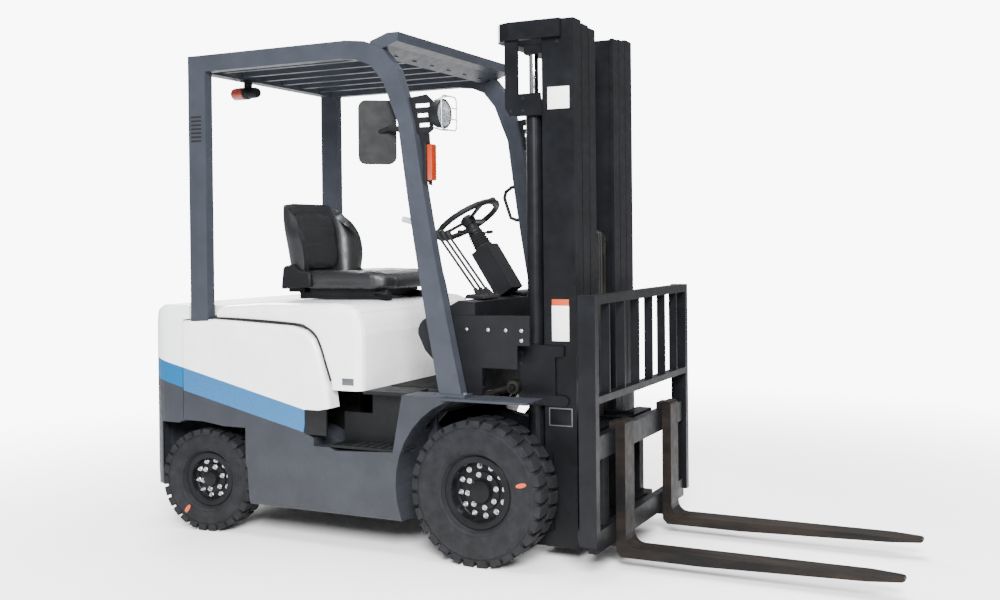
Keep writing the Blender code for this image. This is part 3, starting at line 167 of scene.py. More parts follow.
@dataclass(frozen=True)
class Finish:
    """A surface: what it is made of, its colours and the size of its grain."""

    name: str
    colour: str
    shade: str                    # the colour that it varies to
    roughness: float
    metallic: float = 0.0
    ior: float = 1.5
    coat: float = 0.0
    grain_mm: float = 3.0         # width of the relief's bumps
    relief_mm: float = 0.05       # height of the relief
    patch_mm: float = 120.0       # width of the patches of colour
    dust: float = 0.0             # share of pale dust near the ground
    transmission: float = 0.0
    stretch: tuple[float, float, float] = (1.0, 1.0, 1.0)
    specular: float = 0.5         # 0.5 is a clean surface; dirt and age lower it

    def base_colour(self, tree: bpy.types.NodeTree,
            place: bpy.types.NodeSocket) -> bpy.types.NodeSocket:
        """Colour that varies in soft patches.

        Args:
            tree: The material's node tree.
            place: Object coordinates.

        Returns:
            The colour's output socket.
        """
        patches = add_node(tree, "ShaderNodeTexNoise", {"Scale": 1.0 / (self.patch_mm * MM),
            "Detail": 5.0}, {"Vector": place})
        ramp = add_node(tree, "ShaderNodeMapRange", {"From Min": 0.38, "From Max": 0.68},
            {"Value": patches.outputs["Fac"]})
        mix = add_node(tree, "ShaderNodeMix", {"data_type": "RGBA"}, {0: ramp.outputs["Result"]})
        mix.inputs[6].default_value = linear(self.colour)
        mix.inputs[7].default_value = linear(self.shade)
        return mix.outputs[2]

    def dusted(self, tree: bpy.types.NodeTree, place: bpy.types.NodeSocket,
            colour: bpy.types.NodeSocket) -> bpy.types.NodeSocket:
        """Lay dust over a colour, thickest near the ground.

        Args:
            tree: The material's node tree.
            place: Object coordinates.
            colour: The clean colour.

        Returns:
            The dusty colour's output socket.
        """
        split = add_node(tree, "ShaderNodeSeparateXYZ", links={"Vector": place})
        low = add_node(tree, "ShaderNodeMapRange", {"From Min": 0.0, "From Max": 0.55,
            "To Min": self.dust, "To Max": 0.0}, {"Value": split.outputs["Z"]})
        speck = add_node(tree, "ShaderNodeTexNoise", {"Scale": 1.0 / (14.0 * MM), "Detail": 6.0},
            {"Vector": place})
        share = add_node(tree, "ShaderNodeMath", {"operation": "MULTIPLY"},
            {0: low.outputs["Result"], 1: speck.outputs["Fac"]})
        mix = add_node(tree, "ShaderNodeMix", {"data_type": "RGBA"},
            {0: share.outputs[0], 6: colour})
        mix.inputs[7].default_value = linear("#A89F90")
        return mix.outputs[2]

    def relief(self, tree: bpy.types.NodeTree,
            place: bpy.types.NodeSocket) -> bpy.types.NodeSocket:
        """Height of the surface's fine grain.

        Args:
            tree: The material's node tree.
            place: Object coordinates.

        Returns:
            The height's output socket.
        """
        grain = add_node(tree, "ShaderNodeTexNoise", {"Scale": 1.0 / (self.grain_mm * MM),
            "Detail": 3.0}, {"Vector": place})
        return grain.outputs["Fac"]

    def material(self) -> bpy.types.Material:
        """The finish as a material, made once."""
        if self.name in bpy.data.materials:
            return bpy.data.materials[self.name]
        material = bpy.data.materials.new(self.name)
        material.use_nodes = True
        tree = material.node_tree
        shader = tree.nodes["Principled BSDF"]
        shader.inputs["Metallic"].default_value = self.metallic
        if self.metallic == 0.0:
            shader.inputs["IOR"].default_value = self.ior
            shader.inputs["Specular IOR Level"].default_value = self.specular
        shader.inputs["Coat Weight"].default_value = self.coat
        shader.inputs["Transmission Weight"].default_value = self.transmission
        where = add_node(tree, "ShaderNodeTexCoord").outputs["Object"]
        place = add_node(tree, "ShaderNodeMapping", {"Scale": self.stretch}, {"Vector": where})
        place = place.outputs["Vector"]
        colour = self.base_colour(tree, place)
        if self.dust > 0.0:
            colour = self.dusted(tree, where, colour)
        tree.links.new(colour, shader.inputs["Base Color"])
        worn = add_node(tree, "ShaderNodeTexNoise", {"Scale": 1.0 / (35.0 * MM), "Detail": 4.0},
            {"Vector": place})
        gloss = add_node(tree, "ShaderNodeMapRange", {"From Min": 0.3, "From Max": 0.7,
            "To Min": max(self.roughness - 0.06, 0.02), "To Max": min(self.roughness + 0.08,
            1.0)}, {"Value": worn.outputs["Fac"]})
        tree.links.new(gloss.outputs["Result"], shader.inputs["Roughness"])
        bump = add_node(tree, "ShaderNodeBump", {"Distance": self.relief_mm * MM,
            "Strength": 1.0}, {"Height": self.relief(tree, place)})
        tree.links.new(bump.outputs["Normal"], shader.inputs["Normal"])
        return material


@dataclass(frozen=True)
class Band:
    """A slanted band: two lines of height over length, and where it ends in front."""

    start: tuple[float, float]    # X and Z of the upper line's rear end
    slope: float
    depth: float
    front: float
    lean: float = -0.30           # how far its front end slants, length over height


@dataclass(frozen=True)
class StripedPaint(Finish):
    """Paint with one slanted band of another colour on the truck's sides."""

    band: Band = Band((0.0, 0.0), 0.0, 0.0, 0.0)
    band_colour: str = "#004C78"
    upper_colour: str | None = None   # the paint over the band, where it isn't the same
    least_y: float = 0.25         # the band is only drawn this far from the middle

    def base_colour(self, tree: bpy.types.NodeTree,
            place: bpy.types.NodeSocket) -> bpy.types.NodeSocket:
        """The paint's colour with the band laid over it.

        Args:
            tree: The material's node tree.
            place: Object coordinates.

        Returns:
            The colour's output socket.
        """
        plain = super().base_colour(tree, place)
        split = add_node(tree, "ShaderNodeSeparateXYZ", links={"Vector": place})
        across, height = split.outputs["Y"], split.outputs["Z"]

        def step(value: bpy.types.NodeSocket, limit: float, above: bool) -> bpy.types.NodeSocket:
            kind = "GREATER_THAN" if above else "LESS_THAN"
            return add_node(tree, "ShaderNodeMath", {"operation": kind, 1: limit},
                {0: value}).outputs[0]

        def times(one: bpy.types.NodeSocket, other: bpy.types.NodeSocket) -> bpy.types.NodeSocket:
            return add_node(tree, "ShaderNodeMath", {"operation": "MULTIPLY"},
                {0: one, 1: other}).outputs[0]

        level = add_node(tree, "ShaderNodeMath",
            {"operation": "MULTIPLY_ADD", 1: -self.band.slope},
            {0: split.outputs["X"], 2: height}).outputs[0]
        top = self.band.start[1] - self.band.slope * self.band.start[0]
        reach = add_node(tree, "ShaderNodeMath",
            {"operation": "MULTIPLY_ADD", 1: -self.band.lean},
            {0: height, 2: split.outputs["X"]}).outputs[0]
        beside = add_node(tree, "ShaderNodeMath", {"operation": "ABSOLUTE"},
            {0: across}).outputs[0]
        mask = times(step(level, top, False), step(level, top - self.band.depth, True))
        mask = times(mask, times(step(reach, self.band.front, False),
            step(beside, self.least_y, True)))
        if self.upper_colour:
            over = add_node(tree, "ShaderNodeMix", {"data_type": "RGBA"},
                {0: step(level, top, True), 6: plain})
            over.inputs[7].default_value = linear(self.upper_colour)
            plain = over.outputs[2]
        mix = add_node(tree, "ShaderNodeMix", {"data_type": "RGBA"}, {0: mask, 6: plain})
        mix.inputs[7].default_value = linear(self.band_colour)
        return mix.outputs[2]


@dataclass(frozen=True)
class CellFinish(Finish):
    """A surface covered with small raised cells, such as leather grain or a moulded mat."""

    def relief(self, tree: bpy.types.NodeTree,
            place: bpy.types.NodeSocket) -> bpy.types.NodeSocket:
        """Height of the cells.

        Args:
            tree: The material's node tree.
            place: Object coordinates.

        Returns:
            The height's output socket.
        """
        cells = add_node(tree, "ShaderNodeTexVoronoi", {"Scale": 1.0 / (self.grain_mm * MM),
            "feature": "DISTANCE_TO_EDGE"}, {"Vector": place})
        flat = add_node(tree, "ShaderNodeMapRange", {"From Min": 0.0, "From Max": 0.18},
            {"Value": cells.outputs["Distance"]})
        return flat.outputs["Result"]


@dataclass(frozen=True)
class RibbedFinish(Finish):
    """A surface with straight ribs across one axis, such as a lens or a rubber mat."""

    direction: str = "Z"

    def relief(self, tree: bpy.types.NodeTree,
            place: bpy.types.NodeSocket) -> bpy.types.NodeSocket:
        """Height of the ribs.

        Args:
            tree: The material's node tree.
            place: Object coordinates.

        Returns:
            The height's output socket.
        """
        ribs = add_node(tree, "ShaderNodeTexWave", {"Scale": 0.314 / (self.grain_mm * MM),
            "Distortion": 0.0, "wave_type": "BANDS", "bands_direction": self.direction},
            {"Vector": place})
        return ribs.outputs["Fac"]


# A powder coat on cast and pressed steel: satin, faintly pebbled, with a little road dust.
SLATE = Finish("satin_powder_coat_slate", "#25272C", "#2A2C32", 0.42, grain_mm=2.5,
    relief_mm=0.03, dust=0.03, specular=0.15)
# The guard is the same coat, away from the dust.
GUARD_SLATE = Finish("satin_powder_coat_guard", "#282B31", "#2D3037", 0.40, grain_mm=2.5,
    relief_mm=0.03, specular=0.18)
# The cast weight has a rougher skin under its coat.
CAST_SLATE = StripedPaint("powder_coat_on_casting", "#25272C", "#2A2C32", 0.45, grain_mm=5.0,
    relief_mm=0.10, dust=0.03, specular=0.15, band=Band((-1.44, 0.732), -0.2289, 0.092, 9.0),
    least_y=0.0, upper_colour="#D6D8DA")
# Baked enamel on pressed covers: glossy and even.
WHITE = Finish("baked_enamel_white", "#DADBDC", "#E2E3E3", 0.28, coat=0.15, grain_mm=4.0,
    relief_mm=0.015)
WHITE_STRIPED = StripedPaint("baked_enamel_white_striped", "#DADBDC", "#E2E3E3", 0.28, coat=0.15,
    grain_mm=4.0, relief_mm=0.015, band=Band((-1.44, 0.732), -0.2289, 0.40, -0.755, 0.0))
# Black enamel on rolled mast sections: glossy, a little dusty low down.
BLACK = Finish("black_enamel_on_steel", "#0B0C0E", "#101114", 0.38, grain_mm=3.0, relief_mm=0.03,
    dust=0.01, specular=0.10)
# Black paint on bent sheet, flatter than the mast's.
SHEET_BLACK = Finish("matt_black_on_sheet", "#0D0E10", "#121316", 0.5, grain_mm=1.8,
    relief_mm=0.05, specular=0.15)
# Moulded polypropylene: fine spark-eroded grain, dull sheen.
PLASTIC = CellFinish("moulded_polypropylene_black", "#0C0D0F", "#111214", 0.55, grain_mm=1.6,
    relief_mm=0.04, specular=0.15)
# Natural and carbon black rubber: matt, bluish grey where it has been handled.
RUBBER = Finish("lugged_tyre_rubber", "#131416", "#1B1C20", 0.80, grain_mm=4.0, relief_mm=0.10,
    patch_mm=45.0, dust=0.02, specular=0.12)
SEAL = Finish("sponge_rubber_seal", "#0C0C0D", "#111112", 0.8, grain_mm=2.0, relief_mm=0.1,
    specular=0.25)
HOSE = Finish("hydraulic_hose_rubber", "#0D0D0E", "#131314", 0.6, grain_mm=2.0, relief_mm=0.08,
    specular=0.25)
# Grey iron, machined in places and greasy.
IRON = Finish("painted_cast_iron", "#0E0F11", "#151413", 0.60, grain_mm=6.0, relief_mm=0.25,
    dust=0.03, specular=0.12)
# Hard chrome plate, ground and polished.
CHROME = Finish("hard_chrome_plate", "#C8CACC", "#BFC1C4", 0.10, metallic=1.0, grain_mm=8.0,
    relief_mm=0.003)
# Bright zinc plate on nuts and bolts.
ZINC = Finish("zinc_plate", "#B9BCBE", "#9C9FA2", 0.32, metallic=1.0, grain_mm=1.5, relief_mm=0.02)
# Oiled spring steel of the leaf chains.
CHAIN = Finish("oiled_chain_steel", "#2A2825", "#3B3833", 0.42, metallic=0.9, grain_mm=2.0,
    relief_mm=0.05)
# Forged and hardened blades: black scale, brown where it has worn through.
FORGED = Finish("forged_fork_steel", "#0B0A0A", "#1D1713", 0.50, specular=0.12, grain_mm=9.0,
    relief_mm=0.15, patch_mm=60.0, stretch=(0.25, 1.0, 1.0))
# PVC coated fabric over foam: fine leather grain, soft sheen.
VINYL = CellFinish("pvc_seat_cover_black", "#0E0F11", "#131417", 0.40, grain_mm=2.6,
    relief_mm=0.08, specular=0.45)
# Moulded acrylic, amber.
AMBER = RibbedFinish("acrylic_lens_amber", "#922803", "#862202", 0.18, ior=1.49, coat=0.4,
    grain_mm=6.0, relief_mm=0.6, transmission=0.15)
LENS = RibbedFinish("pressed_headlamp_glass", "#E8ECEF", "#DDE2E6", 0.06, ior=1.52, grain_mm=9.0,
    relief_mm=0.5, transmission=0.85, direction="Y")
# Frosted polycarbonate over the driver: lets light through, no clear view.
GLAZING = Finish("frosted_polycarbonate", "#B4B6AE", "#A6A89F", 0.45, ior=1.58, grain_mm=10.0,
    relief_mm=0.02, transmission=0.35)
MIRROR = Finish("silvered_glass", "#DCE0E2", "#D5D9DC", 0.03, metallic=1.0, grain_mm=50.0,
    relief_mm=0.001)
REFLECTOR = Finish("aluminised_reflector", "#D9DBDD", "#C9CCCE", 0.12, metallic=1.0,
    grain_mm=12.0, relief_mm=0.02)
# Printed vinyl labels, left blank.
LABEL_WHITE = Finish("label_vinyl_white", "#E9E9E6", "#DFDFDC", 0.4, grain_mm=3.0, relief_mm=0.01)
LABEL_ORANGE = Finish("label_vinyl_orange", "#A63A06", "#9C3404", 0.4, grain_mm=3.0,
    relief_mm=0.01)
LABEL_GREY = Finish("label_foil_grey", "#4A4C4E", "#3F4144", 0.45, metallic=0.3, grain_mm=3.0,
    relief_mm=0.01)
GRIP = Finish("light_grey_grip", "#B5B7B6", "#A3A5A5", 0.5, grain_mm=2.0, relief_mm=0.05)
GUARD_WIRE = Finish("galvanised_wire", "#B2B6B8", "#8E9294", 0.4, metallic=0.8, grain_mm=2.0,
    relief_mm=0.03)

NODE_FINISHES: dict[Finish, tuple[str, ...]] = {SLATE: ("chassis_frame",),
    CAST_SLATE: ("counterweight",), GUARD_SLATE: ("overhead_guard",), WHITE: ("hood",),
    WHITE_STRIPED: ("right_side_panel", "left_side_panel"), BLACK: ("outer_mast", "middle_mast",
    "inner_mast", "carriage", "fork_frame", "load_backrest", "right_lift_cylinder",
    "left_lift_cylinder", "right_tilt_cylinder", "left_tilt_cylinder", "free_lift_cylinder"),
    SHEET_BLACK: ("front_cowl", "steering_column", "seat_base"),
    PLASTIC: ("floor_and_steps", "mirror", "grab_handle"),
    IRON: ("engine", "front_axle", "rear_axle", "rear_right_knuckle", "rear_left_knuckle"),
    CHROME: ("right_lift_rod", "left_lift_rod"), CHAIN: ("right_tilt_rod", "left_tilt_rod",
    "free_lift_crosshead"), FORGED: ("right_fork", "left_fork"), GLAZING: ("roof_panel",),}


# ------------------------------------------------------------------------------ bench
class Bench:
    """Modelling steps that the sub-assemblies share."""

    @staticmethod
    def hold(*pieces: bpy.types.Object) -> None:
        """Select only these pieces; the first is active."""
        bpy.ops.object.select_all(action="DESELECT")
        for piece in pieces:
            piece.select_set(True)
        if pieces:
            bpy.context.view_layer.objects.active = pieces[0]

    @staticmethod
    @contextmanager
    def editing(piece: bpy.types.Object, select_all: bool = True):
        """Work on a piece in edit mode.

        Args:
            piece: The piece to edit.
            select_all: Whether all of it starts selected.
        """
        Bench.hold(piece)
        bpy.ops.object.mode_set(mode="EDIT")
        bpy.ops.mesh.select_all(action="SELECT" if select_all else "DESELECT")
        yield
        bpy.ops.object.mode_set(mode="OBJECT")

    @staticmethod
    def settle(piece: bpy.types.Object) -> bpy.types.Object:
        """Put a piece's place into its mesh."""
        Bench.hold(piece)
        bpy.ops.object.transform_apply(location=True, rotation=True, scale=True)
        return piece

    @staticmethod
    def bevel(piece: bpy.types.Object, width: float, segments: int = 2) -> bpy.types.Object:
        """Round a piece's sharp edges.

        Args:
            piece: The piece, with its scale applied.
            width: The bevel's width.
            segments: How many facets it has.

        Returns:
            The same piece.
        """
        Bench.hold(piece)
        edge = piece.modifiers.new("edge", "BEVEL")
        edge.width = width
        edge.segments = segments
        edge.limit_method = "ANGLE"
        edge.angle_limit = math.radians(30.0)
        bpy.ops.object.modifier_apply(modifier=edge.name)
        return piece

    @staticmethod
    def block(name: str, low: Point, high: Point, width: float = 2.0 * MM) -> bpy.types.Object:
        """A block with rounded edges.

        Args:
            name: The piece's name.
            low: Its lowest corner.
            high: Its highest corner.
            width: The rounding's width.

        Returns:
            The new piece.
        """
        bpy.ops.object.select_all(action="DESELECT")
        centre = [(a + b) * 0.5 for a, b in zip(low, high)]
        size = [abs(b - a) for a, b in zip(low, high)]
        bpy.ops.mesh.primitive_cube_add(size=1.0, location=centre, scale=size)
        piece = bpy.context.active_object
        piece.name = name
        Bench.settle(piece)
        return Bench.bevel(piece, min(width, min(size) * 0.3))

    @staticmethod
    def outline_mesh(name: str, points: Sequence[Point], closed: bool) -> bpy.types.Object:
        """A line of points as a mesh, with one face when closed."""
        mesh = bpy.data.meshes.new(name)
        count = len(points)
        if closed:
            mesh.from_pydata([tuple(p) for p in points], [], [list(range(count))])
        else:
            mesh.from_pydata([tuple(p) for p in points], [(i, i + 1) for i in range(count - 1)],
                [])
        piece = bpy.data.objects.new(name, mesh)
        bpy.context.collection.objects.link(piece)
        return piece

    @staticmethod
    def plate(name: str, outline: Sequence[tuple[float, float]], axis: Axis, low: float,
            high: float, width: float = 1.0 * MM) -> bpy.types.Object:
        """A flat outline extruded along an axis.

        Args:
            name: The piece's name.
            outline: Points in the plane of the other two axes.
            axis: The axis that it is extruded along.
            low: Where it starts on that axis.
            high: Where it ends.
            width: The rounding's width.

        Returns:
            The new piece.
        """
        first, second, along = axis.value
        points = []
        for one, other in outline:
            point = [0.0, 0.0, 0.0]
            point[first], point[second], point[along] = one, other, low
            points.append(point)
        piece = Bench.outline_mesh(name, points, True)
        shift = [0.0, 0.0, 0.0]
        shift[along] = high - low
        with Bench.editing(piece):
            bpy.ops.mesh.extrude_region_move(TRANSFORM_OT_translate={"value": shift})
            bpy.ops.mesh.select_all(action="SELECT")
            bpy.ops.mesh.normals_make_consistent(inside=False)
        if width > 0.0:
            Bench.bevel(piece, width, 1)
        return piece

    @staticmethod
    def turned(name: str, profile: Sequence[tuple[float, float]], steps: int,
            ring: bool = False) -> bpy.types.Object:
        """A profile of (radius, height) points spun round the Z axis.

        Args:
            name: The piece's name.
            profile: From the axis back to the axis, or a ring's section.
            steps: How many steps the turn has.
            ring: Whether the profile closes on itself.

        Returns:
            The new piece, standing at the origin.
        """
        points = [(radius, 0.0, height) for radius, height in profile]
        if ring:
            points.append(points[0])
        piece = Bench.outline_mesh(name, points, False)
        with Bench.editing(piece):
            bpy.ops.mesh.spin(steps=steps, angle=math.tau, center=(0.0, 0.0, 0.0),
                axis=(0.0, 0.0, 1.0))
            bpy.ops.mesh.select_all(action="SELECT")
            bpy.ops.mesh.remove_doubles(threshold=0.02 * MM)
            bpy.ops.mesh.normals_make_consistent(inside=False)
        return piece

    @staticmethod
    def standing(piece: bpy.types.Object, foot: Point, direction: Point) -> bpy.types.Object:
        """Move a piece made along Z so that it stands on a point, along a direction."""
        turn = Vector((0.0, 0.0, 1.0)).rotation_difference(Vector(direction))
        piece.matrix_world = Matrix.Translation(Vector(foot)) @ turn.to_matrix().to_4x4()
        return Bench.settle(piece)

    @staticmethod
    def rod(name: str, start: Point, end: Point, radius: float, steps: int = 20,
            width: float = 1.0 * MM) -> bpy.types.Object:
        """A round bar between two points, its ends rounded.

        Args:
            name: The piece's name.
            start: One end's centre.
            end: The other end's centre.
            radius: The bar's radius.
            steps: How many sides it has.
            width: The rounding's width.

        Returns:
            The new piece.
        """
        start, end = Vector(start), Vector(end)
        length = (end - start).length
        edge = min(width, radius * 0.4, length * 0.3)
        profile = [(0.0, 0.0), (radius - edge, 0.0), (radius, edge), (radius, length - edge),
            (radius - edge, length), (0.0, length)]
        return Bench.standing(Bench.turned(name, profile, steps), start, end - start)

    @staticmethod
    def route(points: Sequence[Point], steps: int = 6) -> list[Vector]:
        """Points on one smooth line through the given ones."""
        given = [Vector(p) for p in points]
        given = [given[0] * 2.0 - given[1]] + given + [given[-1] * 2.0 - given[-2]]
        line = []
        for a, b, c, d in zip(given, given[1:], given[2:], given[3:]):
            for step in range(steps):
                t = step / steps
                line.append(0.5 * ((2.0 * b) + (c - a) * t + (2.0 * a - 5.0 * b + 4.0 * c - d) * t
                    * t + (3.0 * b - a - 3.0 * c + d) * t ** 3))
        return line + [given[-2]]

    @staticmethod
    def tube(name: str, points: Sequence[Point], radius: float, smooth: bool = True,
            sides: int = 2, closed: bool = False) -> bpy.types.Object:
        """A round tube along points, closed at its ends.

        Args:
            name: The piece's name.
            points: The centre line.
            radius: The tube's radius.
            smooth: Whether the line is smoothed through the points.
            sides: The bevel's resolution, for a tube of 4 + 2 * sides faces round.
            closed: Whether the line closes on itself.

        Returns:
            The new piece.
        """
        line = Bench.route(points) if smooth else [Vector(p) for p in points]
        curve = bpy.data.curves.new(name, "CURVE")
        curve.dimensions = "3D"
        curve.bevel_depth = radius
        curve.bevel_resolution = sides
        curve.use_fill_caps = not closed
        spline = curve.splines.new("POLY")
        spline.points.add(len(line) - 1)
        spline.use_cyclic_u = closed
        for target, point in zip(spline.points, line):
            target.co = (*point, 1.0)
        piece = bpy.data.objects.new(name, curve)
        bpy.context.collection.objects.link(piece)
        Bench.hold(piece)
        bpy.ops.object.convert(target="MESH")
        piece = bpy.context.active_object
        with Bench.editing(piece):
            bpy.ops.mesh.remove_doubles(threshold=0.02 * MM)
            bpy.ops.mesh.normals_make_consistent(inside=False)
        return piece

    @staticmethod
    def joined(name: str, pieces: Iterable[bpy.types.Object]) -> bpy.types.Object:
        """Several solids as one piece."""
        pieces = list(pieces)
        Bench.hold(*pieces)
        if len(pieces) > 1:
            bpy.ops.object.join()
        piece = bpy.context.active_object
        piece.name = name
        piece.data.name = name
        return piece

    @staticmethod
    def repeated(name: str, master: bpy.types.Object,
            places: Iterable[Matrix]) -> bpy.types.Object:
        """Copies of one solid, each with its own mesh, as one piece.

        Args:
            name: The new piece's name.
            master: The solid to copy; it is used up.
            places: Where each copy goes.

        Returns:
            The new piece.
        """
        copies = []
        for place in places:
            copy = bpy.data.objects.new(name, master.data.copy())
            bpy.context.collection.objects.link(copy)
            copy.data.transform(place)
            copies.append(copy)
        bpy.data.objects.remove(master, do_unlink=True)
        return Bench.joined(name, copies)

    @staticmethod
    def carve(piece: bpy.types.Object, cutter: bpy.types.Object) -> bpy.types.Object:
        """Cut a solid out of a piece."""
        Bench.hold(piece)
        hole = piece.modifiers.new("hole", "BOOLEAN")
        hole.operation = "DIFFERENCE"
        hole.object = cutter
        bpy.ops.object.modifier_apply(modifier=hole.name)
        bpy.data.objects.remove(cutter, do_unlink=True)
        return piece

    @staticmethod
    def facing(place: Point, direction: Point) -> Matrix:
        """The placing that turns Z to a direction at a point."""
        turn = Vector((0.0, 0.0, 1.0)).rotation_difference(Vector(direction))
        return Matrix.Translation(Vector(place)) @ turn.to_matrix().to_4x4()

    @staticmethod
    def bolt(radius: float, height: float, stud: float = 0.0) -> bpy.types.Object:
        """A hexagon head on a washer, with a stud's end standing out of it when asked."""
        rim = radius * 1.25
        washer = Bench.turned("washer", [(0.0, -1.0 * MM), (rim, -1.0 * MM), (rim, 1.2 * MM),
            (0.0, 1.2 * MM)], 16)
        head = Bench.turned("head", [(0.0, 1.0 * MM), (radius, 1.0 * MM), (radius, height * 0.85),
            (radius * 0.86, height), (0.0, height)], 6)
        parts = [washer, head]
        if stud > 0.0:
            end = height + stud
            parts.append(Bench.turned("stud",
                [(0.0, height - 1.0 * MM), (radius * 0.5, height - 1.0 * MM),
                (radius * 0.5, end - 1.0 * MM), (radius * 0.4, end), (0.0, end)], 10))
        return Bench.joined("bolt", parts)

    @staticmethod
    def finish(piece: bpy.types.Object, surface: Finish, body: str, slot: str | None = None,
            smooth: float = 35.0) -> bpy.types.Object:
        """Give a piece its material, its shading and the body that it rides on.

        Args:
            piece: The finished solid.
            surface: Its finish.
            body: The frame's body that it moves with.
            slot: The record's material slot, where one fits; not used.
            smooth: Edges flatter than this angle are shaded smooth.

        Returns:
            The same piece.
        """
        Bench.settle(piece)
        piece.data.materials.clear()
        piece.data.materials.append(surface.material())
        bpy.ops.object.shade_smooth_by_angle(angle=math.radians(smooth))
        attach(piece, body)
        log.info("%s rides on %s, %d faces", piece.name, body, len(piece.data.polygons))
        return piece


def centre_of(node: str) -> Vector:
    """The middle of a node's box."""
    low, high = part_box(node)
    return (low + high) * 0.5


def dress_frame(frame: dict) -> None:
    """Give each node that stays its finish."""
    for surface, nodes in NODE_FINISHES.items():
        for name in nodes:
            slots = frame["nodes"][name].material_slots
            for slot in slots:
                slot.material = surface.material()
            log.info("%s: %s", name, surface.name)


# ------------------------------------------------------------------------------ wheels
@dataclass
class Wheel:
    """One wheel: a lugged tyre on a bolted steel rim."""

    name: str                     # such as front_right
    side: Side
    radius: float
    width: float
    rim_radius: float
    lugs: int                     # on each half of the tread
    nuts: int
    nut_circle: float
    studs: int
    stud_circle: float
    turn: float = 0.0             # degrees that it is steered at rest
    tread: float = 11.0 * MM
    mark_angle: float = -50.0     # where the painted mark sits, from straight up

    @property
    def body(self) -> str:
        """The body that the wheel's pieces ride on."""
        return f"{self.name}_wheel"

    @property
    def placing(self) -> Matrix:
        """From a wheel lying on its inner face to its place on the truck."""
        upright = Matrix.Rotation(math.radians(-90.0 * self.side.value), 4, "X")
        steer = Matrix.Rotation(math.radians(self.turn), 4, "Z")
        return Matrix.Translation(centre_of(f"{self.name}_tyre")) @ steer @ upright

    def lug(self, flank: int) -> bpy.types.Object:
        """One lug of the tread, bent round the tyre.

        Args:
            flank: 1 for the outer half of the tread, -1 for the inner.

        Returns:
            The lug at the top of the tyre.
        """
        pitch = math.tau * self.radius / self.lugs
        half = self.width * 0.5
        shape = [(-0.46, 0.05), (0.26, 0.05), (0.36, 0.44), (0.42, 0.60), (0.40, 0.985),
            (-0.36, 0.985), (-0.34, 0.62), (-0.38, 0.46)]
        outline = [(along * pitch, flank * across * half) for along, across in shape]
        low = self.radius - 2.6 * self.tread
        piece = Bench.plate("lug", outline, Axis.Z, low, self.radius - 0.4 * MM, 2.5 * MM)
        for vertex in piece.data.vertices:
            along, across, rise = vertex.co
            angle = along / self.radius
            vertex.co = (rise * math.sin(angle), rise * math.cos(angle), across)
        with Bench.editing(piece):
            bpy.ops.mesh.normals_make_consistent(inside=False)
        return piece

    def build_tyre(self) -> None:
        """The casing with its bead, side wall rings and both rows of lugs."""
        half = self.width * 0.5
        bead = self.rim_radius + 0.3 * MM
        flange = self.rim_radius + 22.0 * MM
        seat = half - 30.0 * MM
        base = self.radius - self.tread
        side = [(bead, seat), (flange, seat), (flange + 4.0 * MM, seat + 6.0 * MM),
            (flange + 9.0 * MM, half - 9.0 * MM), (flange + 14.0 * MM, half - 6.0 * MM),
            (flange + 16.0 * MM, half - 3.5 * MM), (flange + 19.0 * MM, half - 3.5 * MM),
            (flange + 21.0 * MM, half - 5.5 * MM), ((flange + base) * 0.5 + 6.0 * MM,
            half - 2.0 * MM), (base - 32.0 * MM, half - 1.5 * MM),
            (base - 30.0 * MM, half - 0.2 * MM), (base - 26.0 * MM, half - 0.2 * MM),
            (base - 24.0 * MM, half - 2.0 * MM), (base - 12.0 * MM, half - 6.0 * MM),
            (base - 3.0 * MM, half - 15.0 * MM), (base, half - 26.0 * MM)]
        profile = side + [(radius, -across) for radius, across in reversed(side)]
        casing = Bench.turned("casing", profile, 96, ring=True)
        rows = [casing]
        for flank, shift in ((1, 0.0), (-1, 0.5)):
            turns = [Matrix.Rotation(math.tau * (step + shift) / self.lugs, 4, "Z")
                for step in range(self.lugs)]
            rows.append(Bench.repeated("lugs", self.lug(flank), turns))
        tyre = Bench.joined(f"{self.name}_lugged_tyre", rows)
        tyre.matrix_world = self.placing
        Bench.finish(tyre, RUBBER, self.body, "tyre_rubber", 28.0)
        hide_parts(f"{self.name}_tyre")

    def build_rim(self) -> None:
        """The split rim: dished disc, rolled flange and hub cap."""
        seat = self.width * 0.5 - 29.7 * MM
        edge = seat + 5.0 * MM
        inner = self.rim_radius - 8.0 * MM
        lip = self.rim_radius + 20.0 * MM
        hub = self.stud_circle - 18.0 * MM
        profile = [(0.0, 45.0 * MM), (hub * 0.7, 45.0 * MM), (hub * 0.92, 42.0 * MM),
            (hub, 36.0 * MM), (hub + 1.0 * MM, 20.0 * MM),
            (self.stud_circle + 12.0 * MM, 18.0 * MM), (self.stud_circle + 15.0 * MM, 11.0 * MM),
            (inner - 8.0 * MM, 9.0 * MM), (inner - 3.0 * MM, 13.0 * MM), (inner, 20.0 * MM),
            (inner, edge - 4.0 * MM), (inner + 2.0 * MM, edge - 1.0 * MM),
            (inner + 5.0 * MM, edge), (lip - 3.0 * MM, edge), (lip, edge - 2.0 * MM),
            (lip, seat + 0.6 * MM), (self.rim_radius - 0.2 * MM, seat - 1.0 * MM),
            (self.rim_radius - 0.2 * MM, -seat), (lip - 2.0 * MM, -seat - 0.3 * MM),
            (lip - 2.0 * MM, -edge), (inner, -edge), (inner, -4.0 * MM), (hub, -8.0 * MM),
            (hub, -28.0 * MM), (0.0, -28.0 * MM)]
        rim = Bench.turned(f"{self.name}_split_rim", profile, 72)
        rim.matrix_world = self.placing
        Bench.finish(rim, BLACK, self.body, "black_paint", 30.0)
        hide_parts(f"{self.name}_rim")

